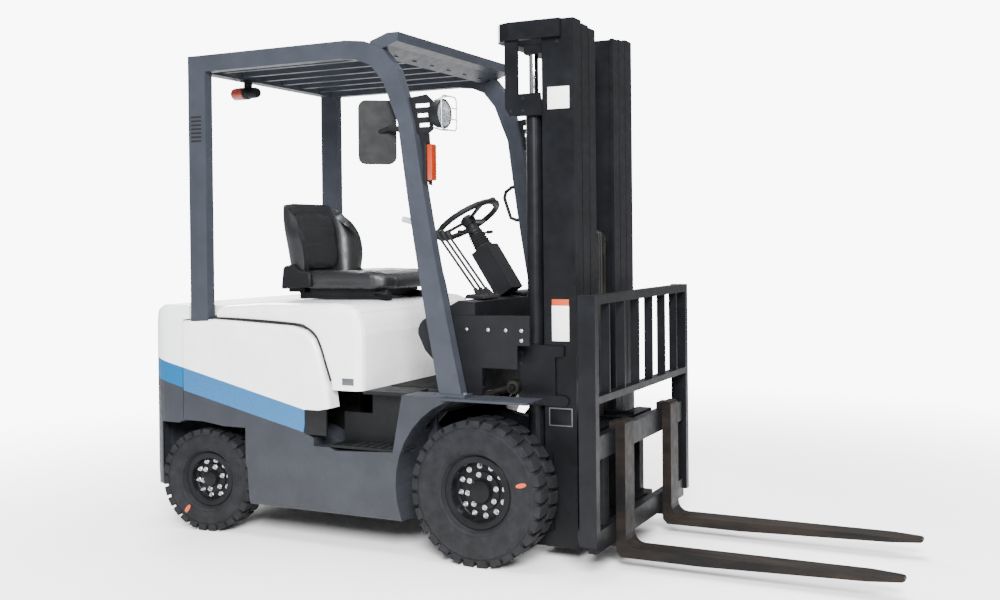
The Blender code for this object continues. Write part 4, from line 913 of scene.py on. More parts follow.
    def build_fasteners(self) -> None:
        """Rim nuts on the outer circle, hub studs on the inner one, and the painted mark."""
        rings = []
        for count, circle, height, radius in ((self.nuts, self.nut_circle, 9.5 * MM, 9.0 * MM),
                (self.studs, self.stud_circle, 18.5 * MM, 8.5 * MM)):
            spots = []
            for step in range(count):
                angle = math.tau * (step + 0.25) / count
                spots.append(Matrix.Translation((circle * math.cos(angle),
                    circle * math.sin(angle), height)))
            rings.append(Bench.repeated("nuts", Bench.bolt(radius, 9.0 * MM, 6.0 * MM), spots))
        nuts = Bench.joined(f"{self.name}_nuts", rings)
        nuts.matrix_world = self.placing
        Bench.finish(nuts, ZINC, self.body)
        distance = (self.rim_radius + self.radius) * 0.5 + 4.0 * MM
        mark = Bench.turned(f"{self.name}_mark", [(0.0, -0.6 * MM), (9.0 * MM, -0.6 * MM),
            (9.0 * MM, 0.6 * MM), (0.0, 0.6 * MM)], 28)
        mark.data.transform(Matrix.Diagonal((1.0, 2.6, 1.0, 1.0)))
        spin = Matrix.Rotation(math.radians(self.mark_angle), 4, "Z")
        spot = Matrix.Translation((0.0, distance, self.width * 0.5 - 1.4 * MM))
        mark.matrix_world = self.placing @ spin @ spot
        Bench.finish(mark, LABEL_ORANGE, self.body)

    def build(self) -> None:
        """Make the whole wheel."""
        self.build_tyre()
        self.build_rim()
        self.build_fasteners()


# ------------------------------------------------------------------------------ seat
@dataclass
class SoftPad:
    """A foam pad under a sewn cover, swollen by a cloth simulation."""

    name: str
    body: str
    node: str | None = None       # the node that it replaces
    voxel: float = 6.5 * MM
    pressure: float = 4.0
    cap: float = 11.0 * MM
    fill: float = 0.75
    seams: Sequence[Callable[[Vector], float]] = field(default_factory=list)
    seam_width: float = 7.0 * MM
    seam_depth: float = 5.0 * MM

    def remesh(self, piece: bpy.types.Object) -> None:
        """Give the pad an even mesh."""
        Bench.hold(piece)
        even = piece.modifiers.new("even", "REMESH")
        even.mode = "VOXEL"
        even.voxel_size = self.voxel
        bpy.ops.object.modifier_apply(modifier=even.name)

    def inflate(self, piece: bpy.types.Object) -> None:
        """Blow the cover up from inside, no point moving further than the cap."""
        rest = [vertex.co.copy() for vertex in piece.data.vertices]
        cloth = piece.modifiers.new("cover", "CLOTH")
        cloth.settings.use_pressure = True
        cloth.settings.uniform_pressure_force = self.pressure
        cloth.settings.effector_weights.gravity = 0.0
        cloth.settings.quality = 5
        scene = bpy.context.scene
        for frame in range(1, 21):
            scene.frame_set(frame)
        graph = bpy.context.evaluated_depsgraph_get()
        moved = [vertex.co.copy() for vertex in piece.evaluated_get(graph).data.vertices]
        piece.modifiers.clear()
        scene.frame_set(1)
        for vertex, start, end in zip(piece.data.vertices, rest, moved):
            step = end - start
            if step.length > self.cap:
                step *= self.cap / step.length
            vertex.co = start + step

    def sew(self, piece: bpy.types.Object) -> None:
        """Press the seams into the cover, along its own normals."""
        normals = [vertex.normal.copy() for vertex in piece.data.vertices]
        for vertex, normal in zip(piece.data.vertices, normals):
            distance = min((abs(seam(vertex.co)) for seam in self.seams), default=1.0)
            vertex.co -= normal * self.seam_depth * math.exp(-(distance / self.seam_width) ** 2)

    def build(self, piece: bpy.types.Object) -> bpy.types.Object:
        """Turn a solid into the finished pad.

        Args:
            piece: The pad's shape, a little smaller than the pad.

        Returns:
            The finished pad.
        """
        Bench.settle(piece)
        self.remesh(piece)
        self.inflate(piece)
        self.sew(piece)
        Bench.hold(piece)
        finer = piece.modifiers.new("finer", "SUBSURF")
        finer.levels = finer.render_levels = 1
        bpy.ops.object.modifier_apply(modifier=finer.name)
        Bench.finish(piece, VINYL, self.body, "seat_vinyl", 60.0)
        if self.node:
            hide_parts(self.node)
        return piece


@dataclass
class DriverSeat:
    """Sprung seat: cushion with bolsters, wrap-round shell with two hand holes, and base."""

    body: str = "hood_body"
    shell_half: float = 0.228
    shell_wall: float = 0.034
    wing: float = 0.135           # how far the wings reach forward
    squareness: float = 0.62      # 1 is round in plan, less is flatter
    lean: float = 9.0
    stations: int = 40

    def shell_point(self, across: float, up: float) -> tuple[float, float, float]:
        """A point of the shell's middle surface.

        Args:
            across: From -1 at its right edge to 1 at its left.
            up: From 0 at its foot to 1 at its top.

        Returns:
            Its place, with the lean.
        """
        low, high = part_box("seat_back")
        foot = low.z + 0.018
        rise = high.z - foot - 0.020
        angle = abs(across) * math.pi * 0.5
        waist = 1.0 - 0.10 * (1.0 - up) ** 2 - 0.16 * max(up - 0.55, 0.0) ** 2 / 0.2
        y = math.copysign(self.shell_half * waist * math.sin(angle) ** self.squareness, across)
        reach = self.wing * (0.55 + 0.45 * math.sin(math.pi * min(0.20 + up * 0.72, 1.0)))
        edge = max(abs(across) - 0.35, 0.0) / 0.65
        z = foot + rise * up * (1.0 - 0.24 * edge ** 2.2 * up)
        x = low.x + 0.080 + reach * (1.0 - max(math.cos(angle), 0.0) ** self.squareness)
        x -= math.tan(math.radians(self.lean)) * (z - foot)
        return (x, y, z)

    def build_shell(self) -> None:
        """The back's shell, solid walled, with an oval hole in each wing."""
        columns, rows = self.stations, 22
        bpy.ops.object.select_all(action="DESELECT")
        bpy.ops.mesh.primitive_grid_add(x_subdivisions=columns, y_subdivisions=rows, size=2.0)
        shell = bpy.context.active_object
        shell.name = "seat_shell"
        for vertex in shell.data.vertices:
            across, up = vertex.co.x, vertex.co.y * 0.5 + 0.5
            vertex.co = self.shell_point(across, up)
        Bench.hold(shell)
        wall = shell.modifiers.new("wall", "SOLIDIFY")
        wall.thickness = self.shell_wall
        wall.offset = 0.0
        bpy.ops.object.modifier_apply(modifier=wall.name)
        Bench.bevel(shell, 13.0 * MM, 4)
        for side in Side:
            spot = Vector(self.shell_point(0.80 * side.value, 0.62))
            nearer = Vector(self.shell_point(0.72 * side.value, 0.62))
            further = Vector(self.shell_point(0.88 * side.value, 0.62))
            tangent = (further - nearer).normalized()
            through = tangent.cross(Vector((0.0, 0.0, 1.0))).normalized()
            hole = Bench.turned("hole", [(0.0, -0.06), (1.0, -0.06), (1.0, 0.06), (0.0, 0.06)], 36)
            hole.data.transform(Matrix.Diagonal((0.027, 0.052, 1.0, 1.0)))
            hole.matrix_world = Matrix.Translation(spot) @ Matrix((tangent,
                tangent.cross(through), through)).transposed().to_4x4()
            Bench.settle(hole)
            Bench.carve(shell, hole)
        Bench.finish(shell, VINYL, self.body, "seat_vinyl", 50.0)
        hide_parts("seat_back")
        self.build_back_pad()

    def build_back_pad(self) -> None:
        """The pad in the middle of the shell, with a seam across its top third."""
        low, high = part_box("seat_back")
        bpy.ops.object.select_all(action="DESELECT")
        bpy.ops.mesh.primitive_grid_add(x_subdivisions=16, y_subdivisions=16, size=2.0)
        pad = bpy.context.active_object
        pad.name = "seat_back_pad"
        for vertex in pad.data.vertices:
            across, up = vertex.co.x, vertex.co.y * 0.5 + 0.5
            high_up = 2.0 * up - 1.0
            rounded = across * math.sqrt(1.0 - 0.32 * high_up ** 4)
            level = 0.5 + 0.5 * high_up * math.sqrt(1.0 - 0.32 * across ** 4)
            point = Vector(self.shell_point(rounded * 0.44, 0.05 + 0.84 * level))
            vertex.co = point + Vector((0.5 * self.shell_wall + 5.0 * MM, 0.0, 0.0))
        Bench.hold(pad)
        wall = pad.modifiers.new("wall", "SOLIDIFY")
        wall.thickness = 26.0 * MM
        wall.offset = 0.0
        bpy.ops.object.modifier_apply(modifier=wall.name)
        Bench.bevel(pad, 6.0 * MM, 2)
        rise = high.z - low.z
        heights = [low.z + rise * share for share in (0.42, 0.62, 0.80)]
        seams = [lambda co, z=z: co.z - z for z in heights]
        SoftPad("seat_back_pad", self.body, seams=seams, seam_depth=2.5 * MM,
            cap=6.0 * MM).build(pad)

    def build_cushion(self) -> None:
        """The seat cushion: raised bolsters at both sides and a sewn middle."""
        low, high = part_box("seat_cushion")
        inset = 9.0 * MM
        pad = Bench.block("seat_pad", (low.x + inset, low.y + inset, low.z + 6.0 * MM),
            (high.x - inset, high.y - inset, high.z - 22.0 * MM), 17.0 * MM)
        with Bench.editing(pad):
            bpy.ops.mesh.subdivide(number_cuts=12)
        length = high.x - low.x
        for vertex in pad.data.vertices:
            along = (vertex.co.x - low.x) / length
            across = abs(vertex.co.y) / high.y
            lift = 16.0 * MM * max(across - 0.55, 0.0) / 0.45 * (1.0 - max(along - 0.75, 0.0)
                * 2.0)
            lift += 6.0 * MM * math.sin(math.pi * min(along * 1.15, 1.0))
            lift -= 22.0 * MM * max(along - 0.86, 0.0) / 0.14
            if vertex.co.z > low.z + 15.0 * MM:
                vertex.co.z += lift
            nose = max(along - 0.72, 0.0) / 0.28
            vertex.co.y *= 1.0 - 0.22 * nose ** 3
            vertex.co.x -= 0.030 * across ** 3 * nose
        middle = (low.x + high.x) * 0.5
        seams = [lambda co: abs(co.y) - 0.135, lambda co: 1.0 if abs(co.y) > 0.135 else co.x
            - middle - 0.08, lambda co: 1.0 if abs(co.y) > 0.135 else co.x - middle + 0.07]
        SoftPad("seat_pad", self.body, node="seat_cushion", seams=seams, cap=9.0 * MM).build(pad)

    def build_base(self) -> None:
        """Suspension bellows, adjusting lever and hinge covers under the cushion."""
        low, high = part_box("seat_base")
        foot = low.z
        folds = []
        for step in range(4):
            inset = 6.0 * MM * (step % 2)
            folds.append(Bench.block("fold", (low.x + 0.10 + inset, -0.150 + inset,
                foot + 0.012 + step * 0.008), (high.x - 0.075 - inset, 0.150 - inset,
                foot + 0.021 + step * 0.008), 3.0 * MM))
        Bench.finish(Bench.joined("seat_bellows", folds), SEAL, self.body)
        knob = Bench.rod("seat_lever", (high.x - 0.10, low.y + 0.01, foot + 0.030),
            (high.x + 0.012, low.y - 0.035, foot + 0.036), 5.0 * MM)
        ball = Bench.rod("knob", (high.x + 0.004, low.y - 0.032, foot + 0.0355),
            (high.x + 0.040, low.y - 0.047, foot + 0.038), 9.0 * MM, width=4.0 * MM)
        Bench.finish(Bench.joined("seat_lever", [knob, ball]), PLASTIC, self.body)
        covers = []
        for side in Side:
            y0, y1 = sorted((side.value * 0.203, side.value * 0.246))
            outline = [(low.x + 0.012, foot + 0.046), (low.x + 0.180, foot + 0.056),
                (low.x + 0.180, foot + 0.122), (low.x + 0.110, foot + 0.134),
                (low.x + 0.075, foot + 0.162), (low.x + 0.025, foot + 0.150)]
            covers.append(Bench.plate("hinge_cover", outline, Axis.Y, y0, y1, 7.0 * MM))
        Bench.finish(Bench.joined("seat_hinge_covers", covers), PLASTIC, self.body)

    def build(self) -> None:
        """Make the whole seat."""
        self.build_cushion()
        self.build_shell()
        self.build_base()


# ------------------------------------------------------------------------------ fittings
class FromAxle:
    """A sub-assembly whose sizes run from the front axle, at floor height."""

    @staticmethod
    def put(piece: bpy.types.Object, surface: Finish, body: str = "truck_body",
            slot: str | None = None, instead_of: Sequence[str] = (),
            smooth: float = 35.0) -> bpy.types.Object:
        """Move a piece to the front axle and finish it.

        Args:
            piece: The solid, measured from the front axle.
            surface: Its finish.
            body: The body that it moves with.
            slot: The record's material slot, where one fits.
            instead_of: The nodes that it stands for.
            smooth: Edges flatter than this angle are shaded smooth.

        Returns:
            The same piece.
        """
        ahead = centre_of("front_right_tyre").x
        piece.matrix_world = Matrix.Translation((ahead, 0.0, 0.0)) @ piece.matrix_world
        Bench.finish(piece, surface, body, slot, smooth)
        if instead_of:
            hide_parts(*instead_of)
        return piece

    @staticmethod
    def bolts(name: str, places: Iterable[Point], direction: Point, radius: float = 7.0 * MM,
            height: float = 5.0 * MM) -> bpy.types.Object:
        """A set of bolts that all face one way."""
        return Bench.repeated(name, Bench.bolt(radius, height),
            [Bench.facing(p, direction) for p in places])


@dataclass
class Steering(FromAxle):
    """Steering wheel with three spokes and a spinner knob, and the column's fairing."""

    hub: Point = (-0.320, 0.0, 1.385)
    lean: float = 33.0
    radius: float = 0.150
    grip: float = 13.0 * MM
    spokes: Sequence[float] = (90.0, 210.0, 330.0)

    @property
    def placing(self) -> Matrix:
        """From a wheel lying flat to its place on the column."""
        return Matrix.Translation(self.hub) @ Matrix.Rotation(math.radians(-self.lean), 4, "Y")

    def build_wheel(self) -> None:
        """Rim with finger grips, dished spokes, hub and knob."""
        bpy.ops.object.select_all(action="DESELECT")
        bpy.ops.mesh.primitive_torus_add(major_radius=self.radius, minor_radius=self.grip,
            major_segments=120, minor_segments=18, location=(0.0, 0.0, 0.0))
        rim = bpy.context.active_object
        for vertex in rim.data.vertices:
            angle = math.atan2(vertex.co.y, vertex.co.x)
            out = Vector((math.cos(angle), math.sin(angle), 0.0)) * self.radius
            pinch = 1.0 - 0.07 * (0.5 + 0.5 * math.cos(angle * 24.0))
            vertex.co = out + (vertex.co - out) * pinch
        parts = [rim]
        for angle in self.spokes:
            spoke = Bench.plate("spoke", [(0.018, -0.014), (0.060, -0.011), (0.149, -0.015),
                (0.149, 0.015), (0.060, 0.011), (0.018, 0.014)], Axis.Z, -0.009, 0.001, 3.0 * MM)
            spoke.data.transform(Matrix.Rotation(math.radians(angle), 4, "Z"))
            parts.append(spoke)
        parts.append(Bench.turned("hub", [(0.0, -0.028), (0.027, -0.028), (0.033, -0.012),
            (0.034, 0.004), (0.031, 0.009), (0.024, 0.012), (0.0, 0.0125)], 40))
        wheel = Bench.joined("steering_wheel_rim", parts)
        wheel.matrix_world = self.placing
        self.put(wheel, PLASTIC, "steering_wheel", "black_plastic", ("steering_wheel",))
        knob = Bench.turned("steering_knob", [(0.0, 0.004), (0.009, 0.004), (0.009, 0.020),
            (0.013, 0.024), (0.019, 0.031), (0.020, 0.038), (0.018, 0.045), (0.011, 0.050),
            (0.0, 0.052)], 32)
        knob.data.transform(Matrix.Translation((0.105, 0.105, 0.0)))
        knob.matrix_world = self.placing
        self.put(knob, SHEET_BLACK, "steering_wheel")
        cap = Bench.turned("horn_cap", [(0.0, 0.008), (0.023, 0.008), (0.0225, 0.0155),
            (0.018, 0.018), (0.0, 0.0190)], 36)
        cap.matrix_world = self.placing
        self.put(cap, SEAL, "steering_wheel")

    def build_column(self) -> None:
        """Column gaiter, the direction switch with its lever, and the parking brake's grip."""
        axis = (self.placing.to_3x3() @ Vector((0.0, 0.0, 1.0))).normalized()
        hub = Vector(self.hub)
        profile = [(0.0, -0.150), (0.042, -0.150)]
        for fold in range(7):
            height = -0.145 + fold * 0.012
            profile += [(0.042 - 0.001 * fold, height), (0.034 - 0.001 * fold, height + 0.006)]
        profile += [(0.030, -0.052), (0.0, -0.052)]
        gaiter = Bench.turned("column_gaiter", profile, 36)
        gaiter.matrix_world = self.placing
        self.put(gaiter, SEAL, "truck_body")
        foot = hub - axis * 0.075
        stalks = []
        for side in Side:
            reach = foot + Vector((0.0, side.value * 0.150, 0.010))
            stalks.append(Bench.rod("stalk", foot, reach, 4.5 * MM))
            stalks.append(Bench.rod("stalk_grip", foot.lerp(reach, 0.72), foot.lerp(reach, 1.02),
                8.0 * MM, 16, 2.5 * MM))
        stalks.append(Bench.rod("switch_body", foot - axis * 0.020, foot + axis * 0.018,
            31.0 * MM, 32, 4.0 * MM))
        self.put(Bench.joined("column_stalks", stalks), PLASTIC)
        brake = [Bench.tube("brake_arm", [(-0.215, -0.352, 1.020), (-0.240, -0.360, 1.150),
            (-0.295, -0.366, 1.280), (-0.322, -0.368, 1.322)], 6.0 * MM)]
        self.put(Bench.joined("brake_lever", brake), SHEET_BLACK)
        grip = Bench.tube("brake_grip", [(-0.312, -0.367, 1.306), (-0.340, -0.369, 1.342),
            (-0.382, -0.371, 1.374), (-0.424, -0.372, 1.386)], 13.0 * MM, sides=4)
        Bench.bevel(grip, 4.0 * MM)
        self.put(grip, GRIP)

    def build(self) -> None:
        """Make the wheel and what is on the column."""
        self.build_wheel()
        self.build_column()


@dataclass
class ControlLevers(FromAxle):
    """Hydraulic levers with knobs, on folded rubber boots."""

    rows: Sequence[float] = (-0.265, -0.220, -0.175)
    foot: tuple[float, float] = (-0.125, 1.070)
    head: tuple[float, float] = (-0.316, 1.315)

    def build(self) -> None:
        """Make the levers, their knobs and the boots."""
        stems, knobs, boots = [], [], []
        for across in self.rows:
            foot = Vector((self.foot[0], across, self.foot[1]))
            head = Vector((self.head[0], across, self.head[1]))
            stems.append(Bench.rod("lever", foot, head, 5.5 * MM, 16))
            knob = Bench.turned("lever_knob", [(0.0, -0.020), (0.008, -0.020), (0.0115, -0.008),
                (0.0150, 0.004), (0.0155, 0.012), (0.0135, 0.020), (0.008, 0.025), (0.0, 0.0262)],
                28)
            knobs.append(Bench.standing(knob, head, head - foot))
            profile = [(0.0, -0.022), (0.021, -0.022)]
            for fold in range(5):
                profile += [(0.0205 - 0.0026 * fold, -0.018 + 0.010 * fold),
                    (0.0150 - 0.0024 * fold, -0.013 + 0.010 * fold)]
            profile += [(0.0, 0.031)]
            boots.append(Bench.standing(Bench.turned("boot", profile, 28), foot, head - foot))
        levers = Bench.joined("lever_stems", stems)
        self.put(levers, SHEET_BLACK, instead_of=("control_levers",))
        self.put(Bench.joined("lever_knobs", knobs), PLASTIC)
        bed = Bench.plate("lever_bed", [(-0.180, 1.0466), (-0.080, 1.0466), (-0.085, 1.062),
            (-0.168, 1.066)], Axis.Y, -0.290, -0.150, 3.0 * MM)
        self.put(Bench.joined("lever_boots", [bed] + boots), SEAL)


@dataclass
class Dashboard(FromAxle):
    """Instrument panel, key switch, pedals and the ribbed floor mat."""

    half: float = 0.400

    def build_panel(self) -> None:
        """A moulded panel on the cowl's tray with a dark display, lamps and a key switch."""
        panel = Bench.plate("instrument_panel", [(-0.246, 0.991), (-0.143, 1.0475),
            (-0.080, 1.0440), (-0.080, 1.060), (-0.150, 1.066), (-0.247, 1.010)], Axis.Y, 0.075,
            0.330, 4.0 * MM)
        self.put(panel, PLASTIC)
        slope = Vector((-0.056, 0.0, 0.097)).normalized()
        base = Vector((-0.1985, 0.2000, 1.0385))
        turn = Bench.facing(base, slope)
        screen = Bench.block("display", (-0.024, -0.056, -0.002), (0.024, 0.056, 0.0016), 1.5 * MM)
        screen.matrix_world = turn
        self.put(screen, Finish("dark_display_glass", "#0B0D0E", "#101314", 0.08, ior=1.5,
            grain_mm=20.0, relief_mm=0.001))
        buttons = []
        for index in range(6):
            spot = turn @ Vector((-0.012 + 0.024 * (index % 2), 0.074 + 0.014 * (index // 2),
                -0.002))
            buttons.append(Bench.standing(Bench.turned("button",
                [(0.0, 0.0), (0.0048, 0.0), (0.0045, 0.0035), (0.0, 0.0042)], 18), spot, slope))
        self.put(Bench.joined("panel_buttons", buttons), LABEL_GREY)
        key = [Bench.standing(Bench.turned("switch", [(0.0, -0.002), (0.013, -0.002),
            (0.013, 0.006), (0.010, 0.009), (0.0, 0.009)], 28), turn @ Vector((0.0, -0.086, 0.0)),
            slope)]
        blade = Bench.block("key", (-0.0015, -0.007, 0.006), (0.0015, 0.007, 0.026), 0.5 * MM)
        blade.matrix_world = turn @ Matrix.Translation((0.0, -0.086, 0.0))
        key.append(Bench.settle(blade))
        self.put(Bench.joined("key_switch", key), ZINC)

    def build_pedals(self) -> None:
        """Three hanging pedals with rubber pads, each on a bent arm."""
        arms, pads = [], []
        for across, width in ((-0.190, 0.062), (-0.020, 0.085), (0.150, 0.075)):
            arms.append(Bench.tube("pedal_arm", [(-0.082, across, 0.900), (-0.130, across, 0.860),
                (-0.205, across, 0.790), (-0.258, across, 0.772)], 6.5 * MM))
            pad = Bench.block("pedal_pad", (-0.036, -width * 0.5, -0.005),
                (0.036, width * 0.5, 0.008), 3.0 * MM)
            ribs = [pad]
            for step in range(5):
                start = -0.028 + step * 0.0125
                ribs.append(Bench.block("rib", (start, -width * 0.45, 0.0070),
                    (start + 0.006, width * 0.45, 0.0105), 1.0 * MM))
            piece = Bench.joined("pedal_pad", ribs)
            piece.matrix_world = (Matrix.Translation((-0.268, across, 0.772))
                @ Matrix.Rotation(math.radians(-52.0), 4, "Y"))
            pads.append(Bench.settle(piece))
        self.put(Bench.joined("pedal_arms", arms), SHEET_BLACK)
        self.put(Bench.joined("pedal_pads", pads), SEAL)

    def build_mat(self) -> None:
        """The floor mat with its ribs."""
        mat = [Bench.block("mat", (-0.552, -0.285, 0.6615), (-0.182, 0.285, 0.6665), 2.0 * MM)]
        for step in range(17):
            y = -0.264 + step * 0.033
            mat.append(Bench.block("mat_rib", (-0.540, y - 0.006, 0.6660),
                (-0.194, y + 0.006, 0.6690), 1.0 * MM))
        self.put(Bench.joined("floor_mat", mat), SEAL)

    def build(self) -> None:
        """Make the whole dashboard."""
        self.build_panel()
        self.build_pedals()
        self.build_mat()


@dataclass
class Headlamp(FromAxle):
    """Round headlamp with a wire guard and a direction lamp under it."""

    side: Side
    centre: tuple[float, float] = (-0.165, 1.805)
    across: float = 0.489
    radius: float = 0.060
    low: float = 1.520

    @property
    def y(self) -> float:
        """The lamp's place across the truck."""
        return self.side.value * self.across

    def build_lamp(self) -> None:
        """Bowl, bezel, reflector and pressed glass."""
        place = (self.centre[0], self.y, self.centre[1])
        r = self.radius
        bowl = Bench.turned("headlamp_bowl", [(0.0, -0.046), (r * 0.42, -0.045),
            (r * 0.72, -0.032), (r * 0.93, -0.012), (r * 0.96, 0.006), (r, 0.008), (r, 0.017),
            (r * 0.93, 0.020), (r * 0.90, 0.012), (r * 0.84, 0.002), (0.0, -0.020)], 48)
        Bench.standing(bowl, place, (1.0, 0.0, 0.0))
        bracket = self.bracket()
        lamp = Bench.joined(f"{self.side.word}_headlamp", [bowl] + bracket)
        self.put(lamp, SHEET_BLACK, instead_of=(f"{self.side.word}_lamps",))
        mirror = Bench.turned("reflector", [(0.0, -0.0185), (r * 0.40, -0.014),
            (r * 0.80, 0.0035), (r * 0.885, 0.0105), (r * 0.885, 0.0115), (r * 0.80, 0.0050),
            (r * 0.40, -0.0120), (0.0, -0.0165)], 48)
        self.put(Bench.standing(mirror, place, (1.0, 0.0, 0.0)), REFLECTOR)
        bulb = Bench.turned("bulb", [(0.0, -0.018), (0.006, -0.018), (0.007, -0.004),
            (0.005, 0.003), (0.0, 0.005)], 20)
        glass = Bench.turned("lens", [(0.0, 0.0195), (r * 0.50, 0.0180), (r * 0.918, 0.0118),
            (r * 0.918, 0.0155), (r * 0.50, 0.0215), (0.0, 0.0232)], 48)
        self.put(Bench.standing(bulb, place, (1.0, 0.0, 0.0)), LENS)
        self.put(Bench.standing(glass, place, (1.0, 0.0, 0.0)), LENS)

    def bracket(self) -> list[bpy.types.Object]:
        """The slotted side plate and the strip that carries the direction lamp."""
        y0, y1 = sorted((self.y, self.y + self.side.value * 0.005))
        plate = Bench.plate("lamp_plate", [(-0.2745, 1.732), (-0.2845, 1.780), (-0.312, 1.879),
            (-0.228, 1.888), (-0.197, 1.860), (-0.197, 1.742), (-0.228, 1.722)], Axis.Y, y0, y1,
            1.0 * MM)
        for height in (1.765, 1.805, 1.845):
            slot = Bench.plate("slot", [(-0.262 - 0.22 * (height - 1.765), height - 0.009),
                (-0.215, height - 0.009), (-0.215, height + 0.006),
                (-0.262 - 0.22 * (height - 1.765), height + 0.006)], Axis.Y, y0 - 0.02, y1 + 0.02,
                0.0)
            Bench.carve(plate, slot)
        strip = Bench.plate("lamp_strip", [(-0.2215, self.low), (-0.2415, self.low + 0.110),
            (-0.2640, self.low + 0.209), (-0.215, self.low + 0.207), (-0.205, self.low - 0.004)],
            Axis.Y, y0, y1, 1.0 * MM)
        return [plate, strip]

    def build_guard(self) -> None:
        """A wire frame in front of the glass with two bars across it."""
        x = self.centre[0] + 0.040
        half, tall, corner = 0.059, 0.068, 0.020
        centre = Vector((x, self.y, self.centre[1]))
        loop = []
        for turn, (sy, sz) in enumerate(((1, 1), (-1, 1), (-1, -1), (1, -1))):
            pivot = centre + Vector((0.0, sy * (half - corner), sz * (tall - corner)))
            for step in range(6):
                angle = math.radians(90.0 * turn + 18.0 * step)
                loop.append(pivot + Vector((0.0, corner * math.cos(angle),
                    corner * math.sin(angle))))
        wire = 2.8 * MM
        parts = [Bench.tube("loop", loop, wire, smooth=False, closed=True)]
        for share in (-0.33, 0.33):
            rise = Vector((0.0, 0.0, tall * share))
            parts.append(Bench.rod("bar", centre + rise - Vector((0.0, half, 0.0)),
                centre + rise + Vector((0.0, half, 0.0)), wire * 0.9, 12))
        for sz in (-1, 1):
            start = centre + Vector((0.0, 0.0, sz * tall))
            parts.append(Bench.tube("stay", [start, start - Vector((0.018, 0.0, 0.0)),
                start - Vector((0.040, 0.0, sz * 0.004)),
                start - Vector((0.074, 0.0, sz * 0.014))], wire, smooth=False))
        self.put(Bench.joined(f"{self.side.word}_lamp_guard", parts), GUARD_WIRE)

    def build_indicator(self) -> None:
        """The amber direction lamp: black base and ribbed lens."""
        y0, y1 = sorted((self.y - self.side.value * 0.018, self.y + self.side.value * 0.030))
        base = Bench.block("indicator_base", (-0.232, y0, self.low + 0.012),
            (-0.217, y1, self.low + 0.168), 3.0 * MM)
        self.put(base, PLASTIC)
        lens = Bench.block("indicator_lens", (-0.2175, y0 + 0.003, self.low + 0.016),
            (-0.192, y1 - 0.003, self.low + 0.164), 7.0 * MM)
        self.put(lens, AMBER)

    def build(self) -> None:
        """Make the whole lamp."""
        self.build_lamp()
        self.build_guard()
        self.build_indicator()


@dataclass
class Beacon(FromAxle):
    """Amber warning lamp lying under the guard's rear cross member."""

    y: float = -0.180
    z: float = 2.005
    radius: float = 0.030
    x: float = -1.495             # the lens's flat end, towards the back

    def build(self) -> None:
        """Make the lens, its ribbed base and its bracket."""
        r = self.radius
        place = (self.x, self.y, self.z)
        lens = Bench.turned("beacon_lens", [(0.0, 0.0), (r * 0.80, 0.0), (r * 0.96, 0.006),
            (r, 0.016), (r, 0.066), (r * 0.94, 0.072), (0.0, 0.072)], 44)
        self.put(Bench.standing(lens, place, (1.0, 0.0, 0.0)), AMBER, instead_of=("beacon",))
        base = Bench.turned("beacon_base", [(0.0, 0.068), (r * 0.97, 0.068), (r, 0.074),
            (r, 0.088), (r * 0.85, 0.094), (r * 0.85, 0.130), (r * 0.70, 0.145), (0.0, 0.145)], 44)
        Bench.standing(base, place, (1.0, 0.0, 0.0))
        arm = Bench.block("arm", (-1.424, self.y - 0.014, self.z + 0.016),
            (-1.395, self.y + 0.014, 2.0615), 2.0 * MM)
        foot = Bench.block("foot", (-1.434, self.y - 0.030, 2.0570),
            (-1.385, self.y + 0.030, 2.0615), 1.0 * MM)
        self.put(Bench.joined("beacon_base", [base, arm, foot]), PLASTIC)


